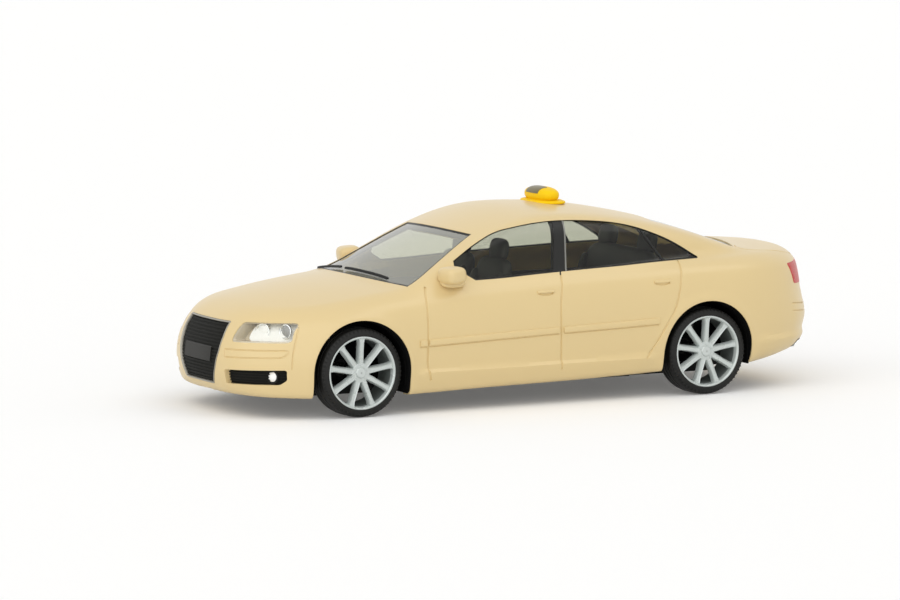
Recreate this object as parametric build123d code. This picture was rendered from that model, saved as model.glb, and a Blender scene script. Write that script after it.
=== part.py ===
from build123d import *
import math
import os

# A 1:87 scale model of a four-door saloon taxi, in millimetres.
# +Z is up with the road at zero, the nose points to -Y and the car's left side is +X.
# The origin lies on the road under the middle of the car's length.
os.makedirs("parts", exist_ok=True)

# Driving sizes of the whole model
LENGTH = 58.2
WIDTH = 21.8
HEIGHT = 16.85
WHEELBASE = 33.84
FRONT_OVERHANG = 10.7
HALF_WIDTH = WIDTH / 2
FRONT_AXLE_Y = -LENGTH / 2 + FRONT_OVERHANG
REAR_AXLE_Y = FRONT_AXLE_Y + WHEELBASE

# Walls and fits
WALL = 0.9
GLASS_THICKNESS = 0.6
FIT = 0.06
SEAT_DEPTH = 0.12
LAMP_DEPTH = 1.5
OVERRUN = LENGTH

# Wheels, tyres and axles
TYRE_RADIUS = 3.84
RIM_RADIUS = 3.16
TYRE_WIDTH = 2.6
WHEEL_FACE_X = 10.6
RIM_BARREL = 0.3
SPOKE_COUNT = 9
SPOKE_WIDTH = 0.54
SPOKE_DEPTH = 0.6
SPOKE_DISH = 0.25
TYRE_SHOULDER = 0.4
WHEEL_ROOM = 0.6
HUB_RADIUS = 0.9
HUB_DEPTH = 2.0
AXLE_RADIUS = 0.5
AXLE_PLAY = 0.06
ARCH_RADIUS = 4.5
ARCH_DEPTH = 4.0

# Columns: y as a share of the length, then the sill, belly, shoulder and bonnet edge as x shares
# of the half width and z shares of the height, and the z share of the crown on the centre line.
BODY_SECTION_SHARES = [
    (-0.540, 0.89, 0.12, 0.95, 0.32, 0.91, 0.420, 0.80, 0.460, 0.545),
    (-0.440, 0.90, 0.11, 0.97, 0.33, 0.93, 0.465, 0.80, 0.510, 0.590),
    (-0.370, 0.92, 0.11, 0.99, 0.35, 0.95, 0.520, 0.82, 0.565, 0.635),
    (-0.230, 0.93, 0.10, 0.990, 0.37, 0.97, 0.580, 0.85, 0.632, 0.680),
    (0.010, 0.93, 0.11, 0.990, 0.37, 0.97, 0.590, 0.87, 0.680, 0.700),
    (0.250, 0.93, 0.13, 0.990, 0.38, 0.96, 0.625, 0.86, 0.712, 0.735),
    (0.390, 0.91, 0.14, 0.98, 0.39, 0.94, 0.635, 0.81, 0.710, 0.742),
    (0.540, 0.89, 0.16, 0.95, 0.39, 0.90, 0.615, 0.77, 0.665, 0.705),
]

# Plan outlines of the lower body at five heights. Columns: z share of the height, then the nose's
# middle, corner, bend and side, and the tail's side, bend, corner and middle.
PLAN_SHARES = [
    (0.06, -0.487, (0.7, -0.449), (0.865, -0.412), (1.03, -0.32),
     (1.03, 0.32), (0.865, 0.417), (0.7, 0.455), 0.494),
    (0.297, -0.4995, (0.7, -0.459), (0.865, -0.423), (1.03, -0.32),
     (1.03, 0.32), (0.865, 0.418), (0.7, 0.458), 0.5),
    (0.475, -0.484, (0.7, -0.436), (0.865, -0.398), (1.03, -0.29),
     (1.03, 0.32), (0.865, 0.419), (0.7, 0.456), 0.499),
    (0.593, -0.446, (0.7, -0.39), (0.865, -0.33), (1.03, -0.21),
     (1.03, 0.3), (0.865, 0.405), (0.7, 0.445), 0.488),
    (0.745, -0.34, (0.7, -0.29), (0.865, -0.23), (1.03, -0.11),
     (1.03, 0.2), (0.865, 0.335), (0.7, 0.415), 0.476),
]

# Side outline of the lower body, from the chin round the nose and the tail, as shares of the
# length and the height. Four numbers are an arc: a place on it, then its end.
CHIN_SHARE = (-0.488, 0.105)
SIDE_OUTLINE_SHARES = [
    (-0.499, 0.175),
    (-0.502, 0.260, -0.496, 0.360),
    (-0.486, 0.490),
    (-0.476, 0.545, -0.452, 0.572),
    (-0.380, 0.90),
    (0.400, 0.90),
    (0.470, 0.714),
    (0.482, 0.700, 0.486, 0.665),
    (0.484, 0.500),
    (0.498, 0.470, 0.500, 0.380),
    (0.499, 0.280, 0.484, 0.205),
    (0.400, 0.140),
    (0.330, 0.100),
]

# Cross-sections of the glasshouse. Columns: y share of the length, the foot's x share of the half
# width, then the side's top, the corner's middle and the roof's edge as x and z shares, and the
# z share of the crown on the centre line.
CABIN_FOOT_SHARE = 0.564
CABIN_SECTION_SHARES = [
    (-0.262, 0.800, (0.780, 0.578), (0.752, 0.588), (0.697, 0.597), 0.655),
    (-0.206, 0.875, (0.853, 0.612), (0.812, 0.650), (0.752, 0.670), 0.745),
    (-0.137, 0.905, (0.853, 0.686), (0.812, 0.748), (0.743, 0.784), 0.857),
    (-0.069, 0.917, (0.840, 0.732), (0.780, 0.848), (0.697, 0.893), 0.948),
    (0.017, 0.924, (0.826, 0.776), (0.773, 0.872), (0.674, 0.947), 0.998),
    (0.103, 0.918, (0.821, 0.774), (0.768, 0.862), (0.670, 0.935), 0.983),
    (0.189, 0.895, (0.807, 0.754), (0.761, 0.837), (0.661, 0.896), 0.934),
    (0.275, 0.846, (0.793, 0.680), (0.757, 0.758), (0.661, 0.810), 0.861),
    (0.344, 0.784, (0.761, 0.617), (0.729, 0.688), (0.661, 0.736), 0.782),
    (0.412, 0.711, (0.697, 0.593), (0.679, 0.623), (0.633, 0.647), 0.695),
]

# Side window opening, shares of the length and the height
SIDE_WINDOW_START_SHARE = (-0.120, 0.660)
SIDE_WINDOW_SHARES = [
    (0.010, 0.682),
    (0.264, 0.712),
    (0.192, 0.850, 0.072, 0.930),
    (0.020, 0.936),
    (-0.086, 0.872, -0.148, 0.758),
    (-0.150, 0.738),
]
# Windscreen and rear window openings seen from the front: half of the lower and upper edge
SCREEN_SHARES = {"low": (0.790, 0.642), "low_mid": 0.672, "high": (0.567, 0.876), "high_mid": 0.893}
LINER_FOOT_SHARE = 0.745
BACKLIGHT_SHARES = {"low": (0.660, 0.738), "low_mid": 0.752, "high": (0.505, 0.886), "high_mid": 0.905}

# Lamp, grille and plate places seen from the front or the back, as shares of the half width
# and the height, going round the outline of the left one.
HEADLIGHT_SHARES = [(0.472, 0.386), (0.867, 0.392), (0.835, 0.489), (0.486, 0.484)]
LOWER_GRILLE_SHARES = [(0.417, 0.172), (0.821, 0.178), (0.864, 0.208), (0.864, 0.255), (0.433, 0.242)]
TAIL_LIGHT_SHARES = [(0.431, 0.540), (0.803, 0.546), (0.794, 0.650), (0.394, 0.647)]
EXHAUST_TRIM_SHARES = [(0.470, 0.190), (0.760, 0.205), (0.750, 0.245), (0.480, 0.232)]
SEATS = [
    (HEADLIGHT_SHARES, -OVERRUN),
    (LOWER_GRILLE_SHARES, -OVERRUN),
    (TAIL_LIGHT_SHARES, OVERRUN),
    (EXHAUST_TRIM_SHARES, OVERRUN),
]
GRILLE_SHARES = [
    (-0.240, 0.163),
    (0.240, 0.163),
    (0.330, 0.332),
    (0.307, 0.484),
    (-0.307, 0.484),
    (-0.330, 0.332),
]
FOG_LAMP_SHARE = (0.769, 0.221)
FOG_LAMP_RADIUS = 0.5
FOG_LAMP_DEPTH = 1.0
GRILLE_FRAME = 0.35
PLATE_WIDTH = 5.2
PLATE_HEIGHT = 1.3
PLATE_THICKNESS = 0.3
FRONT_PLATE_SHARE = 0.310
REAR_PLATE_SHARE = 0.520

# Rub strips and door handles, raised from the sides. Columns: start and end of the middle line as
# shares of the length and the height, the strip's height and how far it stands out.
RAISED_SHARES = [
    ((-0.224, 0.362), (0.008, 0.389), 0.56, 0.14),
    ((0.015, 0.389), (0.174, 0.405), 0.56, 0.14),
    ((-0.028, 0.588), (0.004, 0.588), 0.28, 0.18),
    ((0.170, 0.607), (0.202, 0.607), 0.28, 0.18),
]
# Door outlines, engraved in the sides up to the windows, as shares of the length and the height
DOOR_SHARES = [
    [(-0.192, 0.178), (0.013, 0.184), (0.011, 0.415), (0.022, 0.715), (-0.201, 0.715), (-0.202, 0.659),
     (-0.207, 0.558), (-0.206, 0.332), (-0.202, 0.255)],
    [(0.013, 0.184), (0.158, 0.214), (0.172, 0.280), (0.206, 0.469), (0.215, 0.558), (0.226, 0.715),
     (0.022, 0.715), (0.011, 0.415)],
]
CUT_WIDTH = 0.16
CUT_DEPTH = 0.16
CUT_TOP_SHARE = 0.680

# Chassis and interior
CHASSIS_BOTTOM = 1.5
CHASSIS_THICKNESS = 1.0
CHASSIS_GAP = 0.25
CHASSIS_LENGTH = 49.0
CHASSIS_MIDDLE_Y = (FRONT_AXLE_Y + REAR_AXLE_Y) / 2 + 1.0
FLOOR_HALF_WIDTH = HALF_WIDTH - 2 * WALL
BELLY_HEIGHT = 4.6
BEARING_X = 4.9
CHASSIS_TAIL_RISE = 0.6
BEARING_LENGTH = 3.2
BEARING_WALL = 0.8
SILENCER_SIZE = (5.2, 3.4, 0.9)
SILENCER_Y = 9.0
EXHAUST_RADIUS = 0.4
EXHAUST_X = 1.6
EXHAUST_LENGTH = 15.0
CABIN_FLOOR = 5.4
TUB_WALL = 0.6
TUB_WIDTH = 14.0
TUB_FRONT_Y = -12.6
TUB_DEPTH = 4.4
SEAT_WIDTH = 5.4
SEAT_LENGTH = 5.2
SEAT_HEIGHT = 2.0
SEAT_BACK_HEIGHT = 5.4
SEAT_BACK_DEPTH = 1.3
SEAT_BACK_LEAN = 14.0
HEADREST_WIDTH = 2.6
HEADREST_HEIGHT = 1.4
HEADREST_GAP = 0.25
HEADREST_POST = 0.5
FRONT_SEAT_X = 3.5
FRONT_SEAT_Y = -7.2
REAR_SEAT_Y = 7.6
REAR_LEDGE = 3.2
TUB_LENGTH = REAR_SEAT_Y + SEAT_LENGTH + REAR_LEDGE - TUB_FRONT_Y
REAR_BENCH_WIDTH = 12.6
DASH_DEPTH = 2.1
DASH_HEIGHT = 4.1
STEERING_RADIUS = 1.9
STEERING_RIM = 0.22
STEERING_TILT = 65.0
STEERING_RISE = 0.6
STEERING_REACH = 1.4
COLUMN_LENGTH = 4.0
COLUMN_RADIUS = 0.3

# Mirrors, wipers and the roof sign
MIRROR_SIZE = (2.2, 1.7, 1.6)
MIRROR_SHARES = (0.950, -0.166, 0.690)
MIRROR_ROUND = 0.6
MIRROR_FOOT = (1.5, 1.1, 0.6)
WIPER_LENGTH = 6.2
WIPER_SIZE = 0.28
WIPER_SHARES = [(0.00, -0.255, 7.0), (-0.66, -0.236, 7.0)]
SIGN_WIDTH = 4.4
SIGN_DEPTH = 1.7
SIGN_HEIGHT = 1.15
SIGN_Y = 4.5
SIGN_LIFT = 0.27
ROOF_AT_SIGN = 16.6
SIGN_ROUND = 0.5
SIGN_FLARE = 0.15
SIGN_PANEL = (2.7, 0.75, 0.55)


def along(share):
    return share * LENGTH


def across(share):
    return share * HALF_WIDTH


def up(share):
    return share * HEIGHT


# How a block lies on its place: centred, standing on it, hanging below it, or behind and above it
CENTRED = (Align.CENTER, Align.CENTER, Align.CENTER)
ON_FLOOR = (Align.CENTER, Align.CENTER, Align.MIN)
HANGING = (Align.CENTER, Align.CENTER, Align.MAX)
FROM_FRONT = (Align.CENTER, Align.MIN, Align.MIN)

# Each view's two scales, one a share's full size across and one up the view, and its place in space
VIEWS = {
    "plan": (HALF_WIDTH, LENGTH, lambda u, v: Vector(u, v, 0)),
    "side": (LENGTH, HEIGHT, lambda u, v: Vector(0, u, v)),
    "front": (HALF_WIDTH, HEIGHT, lambda u, v: Vector(u, 0, v)),
}


def outline(view, start, steps, grow=0):
    """Flat face through the steps: two shares end a line, four are a place on an arc and its end.

    The outline's outermost points move out by grow, or inwards where it is negative.
    """
    scale_u, scale_v, place = VIEWS[view]
    points = [(start[0] * scale_u, start[1] * scale_v)]
    for step in steps:
        points += [(step[i] * scale_u, step[i + 1] * scale_v) for i in range(0, len(step), 2)]
    middle = [(max(p[axis] for p in points) + min(p[axis] for p in points)) / 2 for axis in (0, 1)]
    half = [(max(p[axis] for p in points) - min(p[axis] for p in points)) / 2 for axis in (0, 1)]
    factor = [(half[axis] + grow) / half[axis] for axis in (0, 1)]
    moved = [[middle[axis] + (p[axis] - middle[axis]) * factor[axis] for axis in (0, 1)] for p in points]
    spots = [place(*p) for p in moved]
    edges = []
    first = here = spots.pop(0)
    for step in steps:
        if len(step) == 2:
            edges.append(Edge.make_line(here, spots[0]))
        else:
            edges.append(Edge.make_three_point_arc(here, spots.pop(0), spots[0]))
        here = spots.pop(0)
    if (here - first).length > FIT:
        edges.append(Edge.make_line(here, first))
    return Face(Wire(edges))


def body_section(row, inset):
    """One cross-section of the lower body, a wire of lines and arcs at the row's y."""
    y, sill_x, sill_z, belly_x, belly_z, shoulder_x, shoulder_z, edge_x, edge_z, crown_z = row

    def place(x, z):
        return Vector(x, along(y), z)

    sill = (across(sill_x) - inset, up(sill_z) + inset)
    belly = (across(belly_x) - inset, up(belly_z))
    shoulder = (across(shoulder_x) - inset, up(shoulder_z))
    edge = (across(edge_x) - inset, up(edge_z) - inset)
    crown = (0, up(crown_z) - inset)

    def left(point):
        return place(*point)

    def right(point):
        return place(-point[0], point[1])

    return Wire(
        [
            Edge.make_line(right(sill), left(sill)),
            Edge.make_three_point_arc(left(sill), left(belly), left(shoulder)),
            Edge.make_line(left(shoulder), left(edge)),
            Edge.make_three_point_arc(left(edge), left(crown), right(edge)),
            Edge.make_line(right(edge), right(shoulder)),
            Edge.make_three_point_arc(right(shoulder), right(belly), right(sill)),
        ]
    )


def plan_outline(row, inset):
    """Plan outline of the lower body at one height: arcs over the nose and the tail, and between."""
    z, nose, nose_corner, nose_bend, nose_side, tail_side, tail_bend, tail_corner, tail = row
    height = up(z)

    def spot(point, side=1):
        x, y = point
        return Vector(side * (across(x) - inset), along(y) - math.copysign(inset, y), height)

    def middle(y):
        return Vector(0, along(y) - math.copysign(inset, y), height)

    return Wire(
        [
            Edge.make_three_point_arc(spot(nose_corner, -1), middle(nose), spot(nose_corner)),
            Edge.make_three_point_arc(spot(nose_corner), spot(nose_bend), spot(nose_side)),
            Edge.make_line(spot(nose_side), spot(tail_side)),
            Edge.make_three_point_arc(spot(tail_side), spot(tail_bend), spot(tail_corner)),
            Edge.make_three_point_arc(spot(tail_corner), middle(tail), spot(tail_corner, -1)),
            Edge.make_three_point_arc(spot(tail_corner, -1), spot(tail_bend, -1), spot(tail_side, -1)),
            Edge.make_line(spot(tail_side, -1), spot(nose_side, -1)),
            Edge.make_three_point_arc(spot(nose_side, -1), spot(nose_bend, -1), spot(nose_corner, -1)),
        ]
    )


def plan_tower(inset):
    """What the plan outlines enclose from under the sills to above the boot."""
    return Solid.make_loft([plan_outline(row, inset) for row in PLAN_SHARES])


def side_prism(inset):
    """Prism of the lower body's side outline, across the whole width."""
    return sideways(outline("side", CHIN_SHARE, SIDE_OUTLINE_SHARES, -inset))


def lower_body(inset):
    """The car below its windows as one solid, made smaller all round by the inset."""
    bulk = Solid.make_loft([body_section(row, inset) for row in BODY_SECTION_SHARES])
    return bulk & plan_tower(inset) & side_prism(inset)


def cabin_section(row, inset):
    """One cross-section of the glasshouse, a wire of lines and arcs at the row's y."""
    y, foot_x, side_top, corner, roof_edge, crown_z = row

    def spot(x, z, side=1):
        return Vector(side * (across(x) - inset), along(y), up(z) - inset)

    def foot(side):
        return Vector(side * (across(foot_x) - inset), along(y), up(CABIN_FOOT_SHARE) - inset)

    crown = Vector(0, along(y), up(crown_z) - inset)
    return Wire(
        [
            Edge.make_line(foot(-1), foot(1)),
            Edge.make_line(foot(1), spot(*side_top)),
            Edge.make_three_point_arc(spot(*side_top), spot(*corner), spot(*roof_edge)),
            Edge.make_three_point_arc(spot(*roof_edge), crown, spot(*roof_edge, -1)),
            Edge.make_three_point_arc(spot(*roof_edge, -1), spot(*corner, -1), spot(*side_top, -1)),
            Edge.make_line(spot(*side_top, -1), foot(-1)),
        ]
    )


def cabin(inset):
    """The glasshouse as one solid, from inside the waist up to the roof."""
    return Solid.make_loft([cabin_section(row, inset) for row in CABIN_SECTION_SHARES])


def sideways(face):
    """Prism of a face seen from the side, across the whole width."""
    return extrude(face, amount=WIDTH, dir=(1, 0, 0), both=True)


def towards(face, reach):
    """Prism of a face seen from the front, from the car's middle out to the reach along Y."""
    return extrude(face, amount=abs(reach), dir=(0, math.copysign(1, reach), 0))


def window_prism(shape, reach, grow):
    """Prism along Y of a window seen from the front."""
    low, high = shape["low"], shape["high"]
    steps = [(0, shape["low_mid"], *low), high, (0, shape["high_mid"], -high[0], high[1])]
    return towards(outline("front", (-low[0], low[1]), steps, grow), reach)


def side_window_prism(grow):
    """Prism along X of the side windows, through both sides of the cabin."""
    return sideways(outline("side", SIDE_WINDOW_START_SHARE, SIDE_WINDOW_SHARES, grow))


def end_prism(shares, reach, grow=0):
    """Prism along Y of a lamp or grille outline."""
    return towards(outline("front", shares[0], shares[1:], grow), reach)


def both_sides(shape):
    return [shape, mirror(shape, about=Plane.YZ)]


def block(size, at, align=CENTRED, rounded=0):
    """A box of three sizes at a place, with all its edges rounded where that is asked for."""
    box = Box(*size, align=align)
    if rounded:
        box = fillet(box.edges(), rounded)
    return Pos(*at) * box


def rod(radius, length, at, along_axis="X"):
    """A round bar with its middle at a place."""
    turn = {"X": Rot(0, 90, 0), "Y": Rot(90, 0, 0), "Z": Rot(0, 0, 0)}[along_axis]
    return Pos(*at) * turn * Cylinder(radius, length)


OUTER = lower_body(0)
CABIN = cabin(0)
WHOLE = OUTER + CABIN


def window_openings(grow=0):
    return (
        side_window_prism(grow)
        + window_prism(SCREEN_SHARES, -OVERRUN, grow)
        + window_prism(BACKLIGHT_SHARES, OVERRUN, grow)
    )


def arch_cutters():
    """Wheel arches: a round top with straight sides down, on both sides of both axles."""
    cutters = []
    for axle_y in (FRONT_AXLE_Y, REAR_AXLE_Y):
        for side in (-1, 1):
            middle = (side * (HALF_WIDTH + FIT - ARCH_DEPTH / 2), axle_y, TYRE_RADIUS)
            cutters.append(rod(ARCH_RADIUS, ARCH_DEPTH, middle))
            drop = (ARCH_DEPTH, 2 * ARCH_RADIUS, TYRE_RADIUS)
            cutters.append(block(drop, middle, align=HANGING))
    return cutters


def end_zone(reach):
    """The nose or the tail beyond its axle's arch, where lamps and grilles sit."""
    axle_y = FRONT_AXLE_Y if reach < 0 else REAR_AXLE_Y
    start = axle_y + math.copysign(ARCH_RADIUS + WALL, reach)
    return block((2 * WIDTH, OVERRUN, 2 * HEIGHT), (0, start + math.copysign(OVERRUN / 2, reach), HEIGHT))


def raised_trims():
    """Rub strips and door handles on both sides, rooted in the wall."""
    trims = []
    for (start_y, start_z), (end_y, end_z), height, rise in RAISED_SHARES:
        half = height / HEIGHT / 2
        steps = [(end_y, end_z - half), (end_y, end_z + half), (start_y, start_z + half)]
        bar = sideways(outline("side", (start_y, start_z - half), steps))
        trims.append((lower_body(-rise) & bar) - lower_body(WALL / 2))
    return trims


def door_cuts():
    """Grooves round the doors, from the sills up to the side windows."""
    film = OUTER - lower_body(CUT_DEPTH)
    front, rear = DOOR_SHARES
    cuts = []
    for shares, start in ((front, -LENGTH), (rear, along(rear[0][0]) + CUT_WIDTH)):
        frame = outline("side", shares[0], shares[1:]) - outline("side", shares[0], shares[1:], -CUT_WIDTH)
        zone = block((2 * WIDTH, 2 * LENGTH, up(CUT_TOP_SHARE)), (0, start, 0), align=FROM_FRONT)
        cuts.append(film & sideways(frame) & zone)
    return cuts


def body_shell():
    """The moulded body: hollow, open below, with its windows, arches and lamp seats cut."""
    shell = WHOLE
    for trim in raised_trims():
        shell = shell + trim
    shell = shell - (lower_body(WALL) + cabin(WALL))
    for cut in door_cuts():
        shell = shell - cut
    opening = (2 * FLOOR_HALF_WIDTH, CHASSIS_LENGTH + 2 * CHASSIS_GAP, 2 * BELLY_HEIGHT)
    shell = shell - block(opening, (0, CHASSIS_MIDDLE_Y, 0))
    shell = shell - window_openings()
    for cutter in arch_cutters():
        shell = shell - cutter
    for shares, reach in SEATS:
        for prism in both_sides(end_prism(shares, reach) & end_zone(reach)):
            shell = shell - prism
    return shell - (end_prism(GRILLE_SHARES, -OVERRUN) & end_zone(-OVERRUN))


def layer(sunk, depth, shares, reach, grow=-FIT):
    """A lamp or grille in its seat, from sunk below the body's surface to depth below it."""
    prism = end_prism(shares, reach, grow) & end_zone(reach)
    return (lower_body(sunk) & prism) - lower_body(depth)


def fog_lamp_prism(grow=0):
    """Round bar through the left fog lamp's place, out to the nose."""
    x, z = across(FOG_LAMP_SHARE[0]), up(FOG_LAMP_SHARE[1])
    return rod(FOG_LAMP_RADIUS + grow, OVERRUN, (x, -OVERRUN / 2, z), "Y") & end_zone(-OVERRUN)


def fog_lamp():
    return (lower_body(SEAT_DEPTH) & fog_lamp_prism()) - lower_body(FOG_LAMP_DEPTH)


def lower_grille():
    """Black inlet with a blind seat for the fog lamp."""
    inlet = layer(WALL / 2, LAMP_DEPTH, LOWER_GRILLE_SHARES, -OVERRUN)
    return inlet - (fog_lamp_prism(FIT) - lower_body(FOG_LAMP_DEPTH + FIT))


def glazing():
    """One clear moulding inside the roof, with a plug that fills each window."""
    hollow = cabin(WALL + FIT + GLASS_THICKNESS)
    room = (2 * WIDTH, 2 * LENGTH, HEIGHT)
    liner = cabin(WALL + FIT) & block(room, (0, 0, up(LINER_FOOT_SHARE)), align=ON_FLOOR)
    return (liner + (cabin(SEAT_DEPTH) & window_openings(-FIT))) - hollow


def tub():
    """Interior moulding: a tray with side walls, its dashboard and the ledge behind the seats."""
    floor_size = (TUB_WIDTH, TUB_LENGTH, TUB_DEPTH)
    middle_y = TUB_FRONT_Y + TUB_LENGTH / 2
    tray = block(floor_size, (0, middle_y, CABIN_FLOOR), align=ON_FLOOR)
    room = (TUB_WIDTH - 2 * TUB_WALL, TUB_LENGTH - 2 * TUB_WALL, TUB_DEPTH)
    tray = tray - block(room, (0, middle_y, CABIN_FLOOR + TUB_WALL), align=ON_FLOOR)
    dash = (TUB_WIDTH - TUB_WALL, DASH_DEPTH, DASH_HEIGHT)
    dash_at = (0, TUB_FRONT_Y + TUB_WALL / 2, CABIN_FLOOR + TUB_WALL / 2)
    return tray + block(dash, dash_at, align=FROM_FRONT)


def seat(width, middle_x, front_y, headrests):
    """One seat or bench: a cushion, a leaning back and its headrests."""
    base = CABIN_FLOOR + TUB_WALL
    cushion = block((width, SEAT_LENGTH, SEAT_HEIGHT), (0, 0, 0), align=FROM_FRONT)
    lean = Pos(0, SEAT_LENGTH - SEAT_BACK_DEPTH, 0) * Rot(-SEAT_BACK_LEAN, 0, 0)
    back = block((width, SEAT_BACK_DEPTH, SEAT_BACK_HEIGHT), (0, 0, 0), align=FROM_FRONT)
    back = fillet(back.edges().filter_by(Axis.Y).sort_by(Axis.Z)[-2:], SEAT_BACK_DEPTH / 2)
    for place in headrests:
        rest = (HEADREST_WIDTH, SEAT_BACK_DEPTH, HEADREST_HEIGHT)
        at = (place, SEAT_BACK_DEPTH / 2, SEAT_BACK_HEIGHT + HEADREST_GAP)
        back = back + block(rest, at, align=ON_FLOOR, rounded=SEAT_BACK_DEPTH / 3)
        post = (HEADREST_POST, HEADREST_POST, SEAT_HEIGHT)
        post_at = (place, SEAT_BACK_DEPTH / 2, SEAT_BACK_HEIGHT - SEAT_HEIGHT / 2)
        back = back + block(post, post_at, align=ON_FLOOR)
    foot = block((2 * width, 2 * SEAT_LENGTH, SEAT_HEIGHT), (0, SEAT_LENGTH, 0), align=HANGING)
    return Pos(middle_x, front_y, base) * (cushion + (lean * back - foot))


def steering_wheel():
    """Wheel, hub and column, with the column's end on the dashboard."""
    wheel = Torus(STEERING_RADIUS, STEERING_RIM) + Cylinder(STEERING_RIM * 2, STEERING_RIM * 2)
    wheel = wheel + Box(2 * STEERING_RADIUS, STEERING_RIM * 2, STEERING_RIM)
    column = Cylinder(COLUMN_RADIUS, COLUMN_LENGTH, align=(Align.CENTER, Align.CENTER, Align.MAX))
    dash_back = TUB_FRONT_Y + TUB_WALL / 2 + DASH_DEPTH
    top = CABIN_FLOOR + DASH_HEIGHT - STEERING_RISE
    at = Pos(FRONT_SEAT_X, dash_back + STEERING_REACH, top) * Rot(-STEERING_TILT, 0, 0)
    ahead = (2 * WIDTH, OVERRUN, OVERRUN)
    trim = block(ahead, (0, dash_back - OVERRUN / 2, top))
    return at * (wheel + column) - trim


def chassis():
    """Floor pan with wheel cut-outs, bearing blocks at the axles' ends, a raised tail and the exhaust."""
    width = 2 * (FLOOR_HALF_WIDTH - CHASSIS_GAP)
    start = CHASSIS_MIDDLE_Y - CHASSIS_LENGTH / 2
    tail_start = REAR_AXLE_Y + ARCH_RADIUS
    pan = block((width, tail_start - start, CHASSIS_THICKNESS), (0, start, CHASSIS_BOTTOM), align=FROM_FRONT)
    tail_size = (width, start + CHASSIS_LENGTH - tail_start + CHASSIS_THICKNESS, CHASSIS_THICKNESS)
    tail_at = (0, tail_start - CHASSIS_THICKNESS, CHASSIS_BOTTOM + CHASSIS_TAIL_RISE)
    pan = pan + block(tail_size, tail_at, align=FROM_FRONT)
    for axle_y in (FRONT_AXLE_Y, REAR_AXLE_Y):
        for side in (-1, 1):
            cut = (OVERRUN, 2 * ARCH_RADIUS, OVERRUN)
            inner = WHEEL_FACE_X - TYRE_WIDTH - WHEEL_ROOM
            pan = pan - block(cut, (side * (inner + OVERRUN / 2), axle_y, 0))
            height = TYRE_RADIUS + AXLE_RADIUS + BEARING_WALL - CHASSIS_BOTTOM
            size = (BEARING_LENGTH, 2 * (AXLE_RADIUS + BEARING_WALL), height)
            pan = pan + block(size, (side * BEARING_X, axle_y, CHASSIS_BOTTOM), align=ON_FLOOR)
    for axle_y in (FRONT_AXLE_Y, REAR_AXLE_Y):
        pan = pan - rod(AXLE_RADIUS + AXLE_PLAY, WIDTH, (0, axle_y, TYRE_RADIUS))
    pan = pan + block(SILENCER_SIZE, (0, SILENCER_Y, CHASSIS_BOTTOM))
    for side in (-1, 1):
        pipe_at = (side * EXHAUST_X, SILENCER_Y - EXHAUST_LENGTH / 2, CHASSIS_BOTTOM)
        pan = pan + rod(EXHAUST_RADIUS, EXHAUST_LENGTH, pipe_at, "Y")
    return pan


def rim():
    """A nine-spoke wheel on +X, its outer face at zero and its barrel towards -X."""
    barrel = rod(RIM_RADIUS, TYRE_WIDTH, (-TYRE_WIDTH / 2, 0, 0))
    barrel = barrel - rod(RIM_RADIUS - RIM_BARREL, OVERRUN, (0, 0, 0))
    hub = rod(HUB_RADIUS, HUB_DEPTH, (-SPOKE_DISH - HUB_DEPTH / 2, 0, 0))
    reach = RIM_RADIUS - RIM_BARREL / 2
    for index in range(SPOKE_COUNT):
        spoke_at = (-SPOKE_DISH - SPOKE_DEPTH / 2, 0, 0)
        spoke = block((SPOKE_DEPTH, SPOKE_WIDTH, reach), spoke_at, align=ON_FLOOR)
        hub = hub + Rot(360 * index / SPOKE_COUNT, 0, 0) * spoke
    bore = rod(AXLE_RADIUS, HUB_DEPTH, (-SPOKE_DISH - SPOKE_DEPTH - HUB_DEPTH / 2, 0, 0))
    return barrel + hub - bore


def tyre():
    ring = rod(TYRE_RADIUS, TYRE_WIDTH, (-TYRE_WIDTH / 2, 0, 0))
    ring = fillet(ring.edges(), TYRE_SHOULDER)
    return ring - rod(RIM_RADIUS, OVERRUN, (0, 0, 0))


def axle(axle_y):
    """Steel pin pressed into both hubs."""
    half = WHEEL_FACE_X - SPOKE_DISH - SPOKE_DEPTH
    return rod(AXLE_RADIUS, 2 * half, (0, axle_y, TYRE_RADIUS))


def mirror_body():
    """Left door mirror with its foot on the window's front corner."""
    x_share, y_share, z_share = MIRROR_SHARES
    x, y, z = across(x_share), along(y_share), up(z_share)
    width, _, height = MIRROR_SIZE
    head = block(MIRROR_SIZE, (x, y, z), rounded=MIRROR_ROUND)
    foot = block(MIRROR_FOOT, (x - width / 2, y, z - height / 2 + MIRROR_FOOT[2] / 3))
    return (head + foot) - WHOLE


def wipers():
    """Two wiper arms lying on the windscreen, parked towards the same side."""
    film = cabin(-WIPER_SIZE - FIT) - cabin(-FIT)
    arms = []
    for x_share, y_share, turn in WIPER_SHARES:
        at = Pos(across(x_share), along(y_share), 0) * Rot(0, 0, turn)
        bar = at * Box(WIPER_LENGTH, WIPER_SIZE, OVERRUN, align=(Align.MIN, Align.CENTER, Align.MIN))
        arms.append((film & bar) - OUTER)
    return Compound(children=[solid for arm in arms for solid in arm.solids()])


def sign_block():
    base = ROOF_AT_SIGN + SIGN_LIFT
    return block((SIGN_WIDTH, SIGN_DEPTH, SIGN_HEIGHT), (0, SIGN_Y, base), align=ON_FLOOR, rounded=SIGN_ROUND)


def sign_panel():
    """Blank panel let into the sign's upper front."""
    at = (0, SIGN_Y - SIGN_DEPTH / 2, ROOF_AT_SIGN + SIGN_LIFT + SIGN_HEIGHT - SIGN_PANEL[2])
    return sign_block() & block(SIGN_PANEL, at, align=FROM_FRONT)


def roof_sign():
    """Sign body above the roof, with a seat for its panel."""
    return sign_block() - sign_panel()


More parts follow.
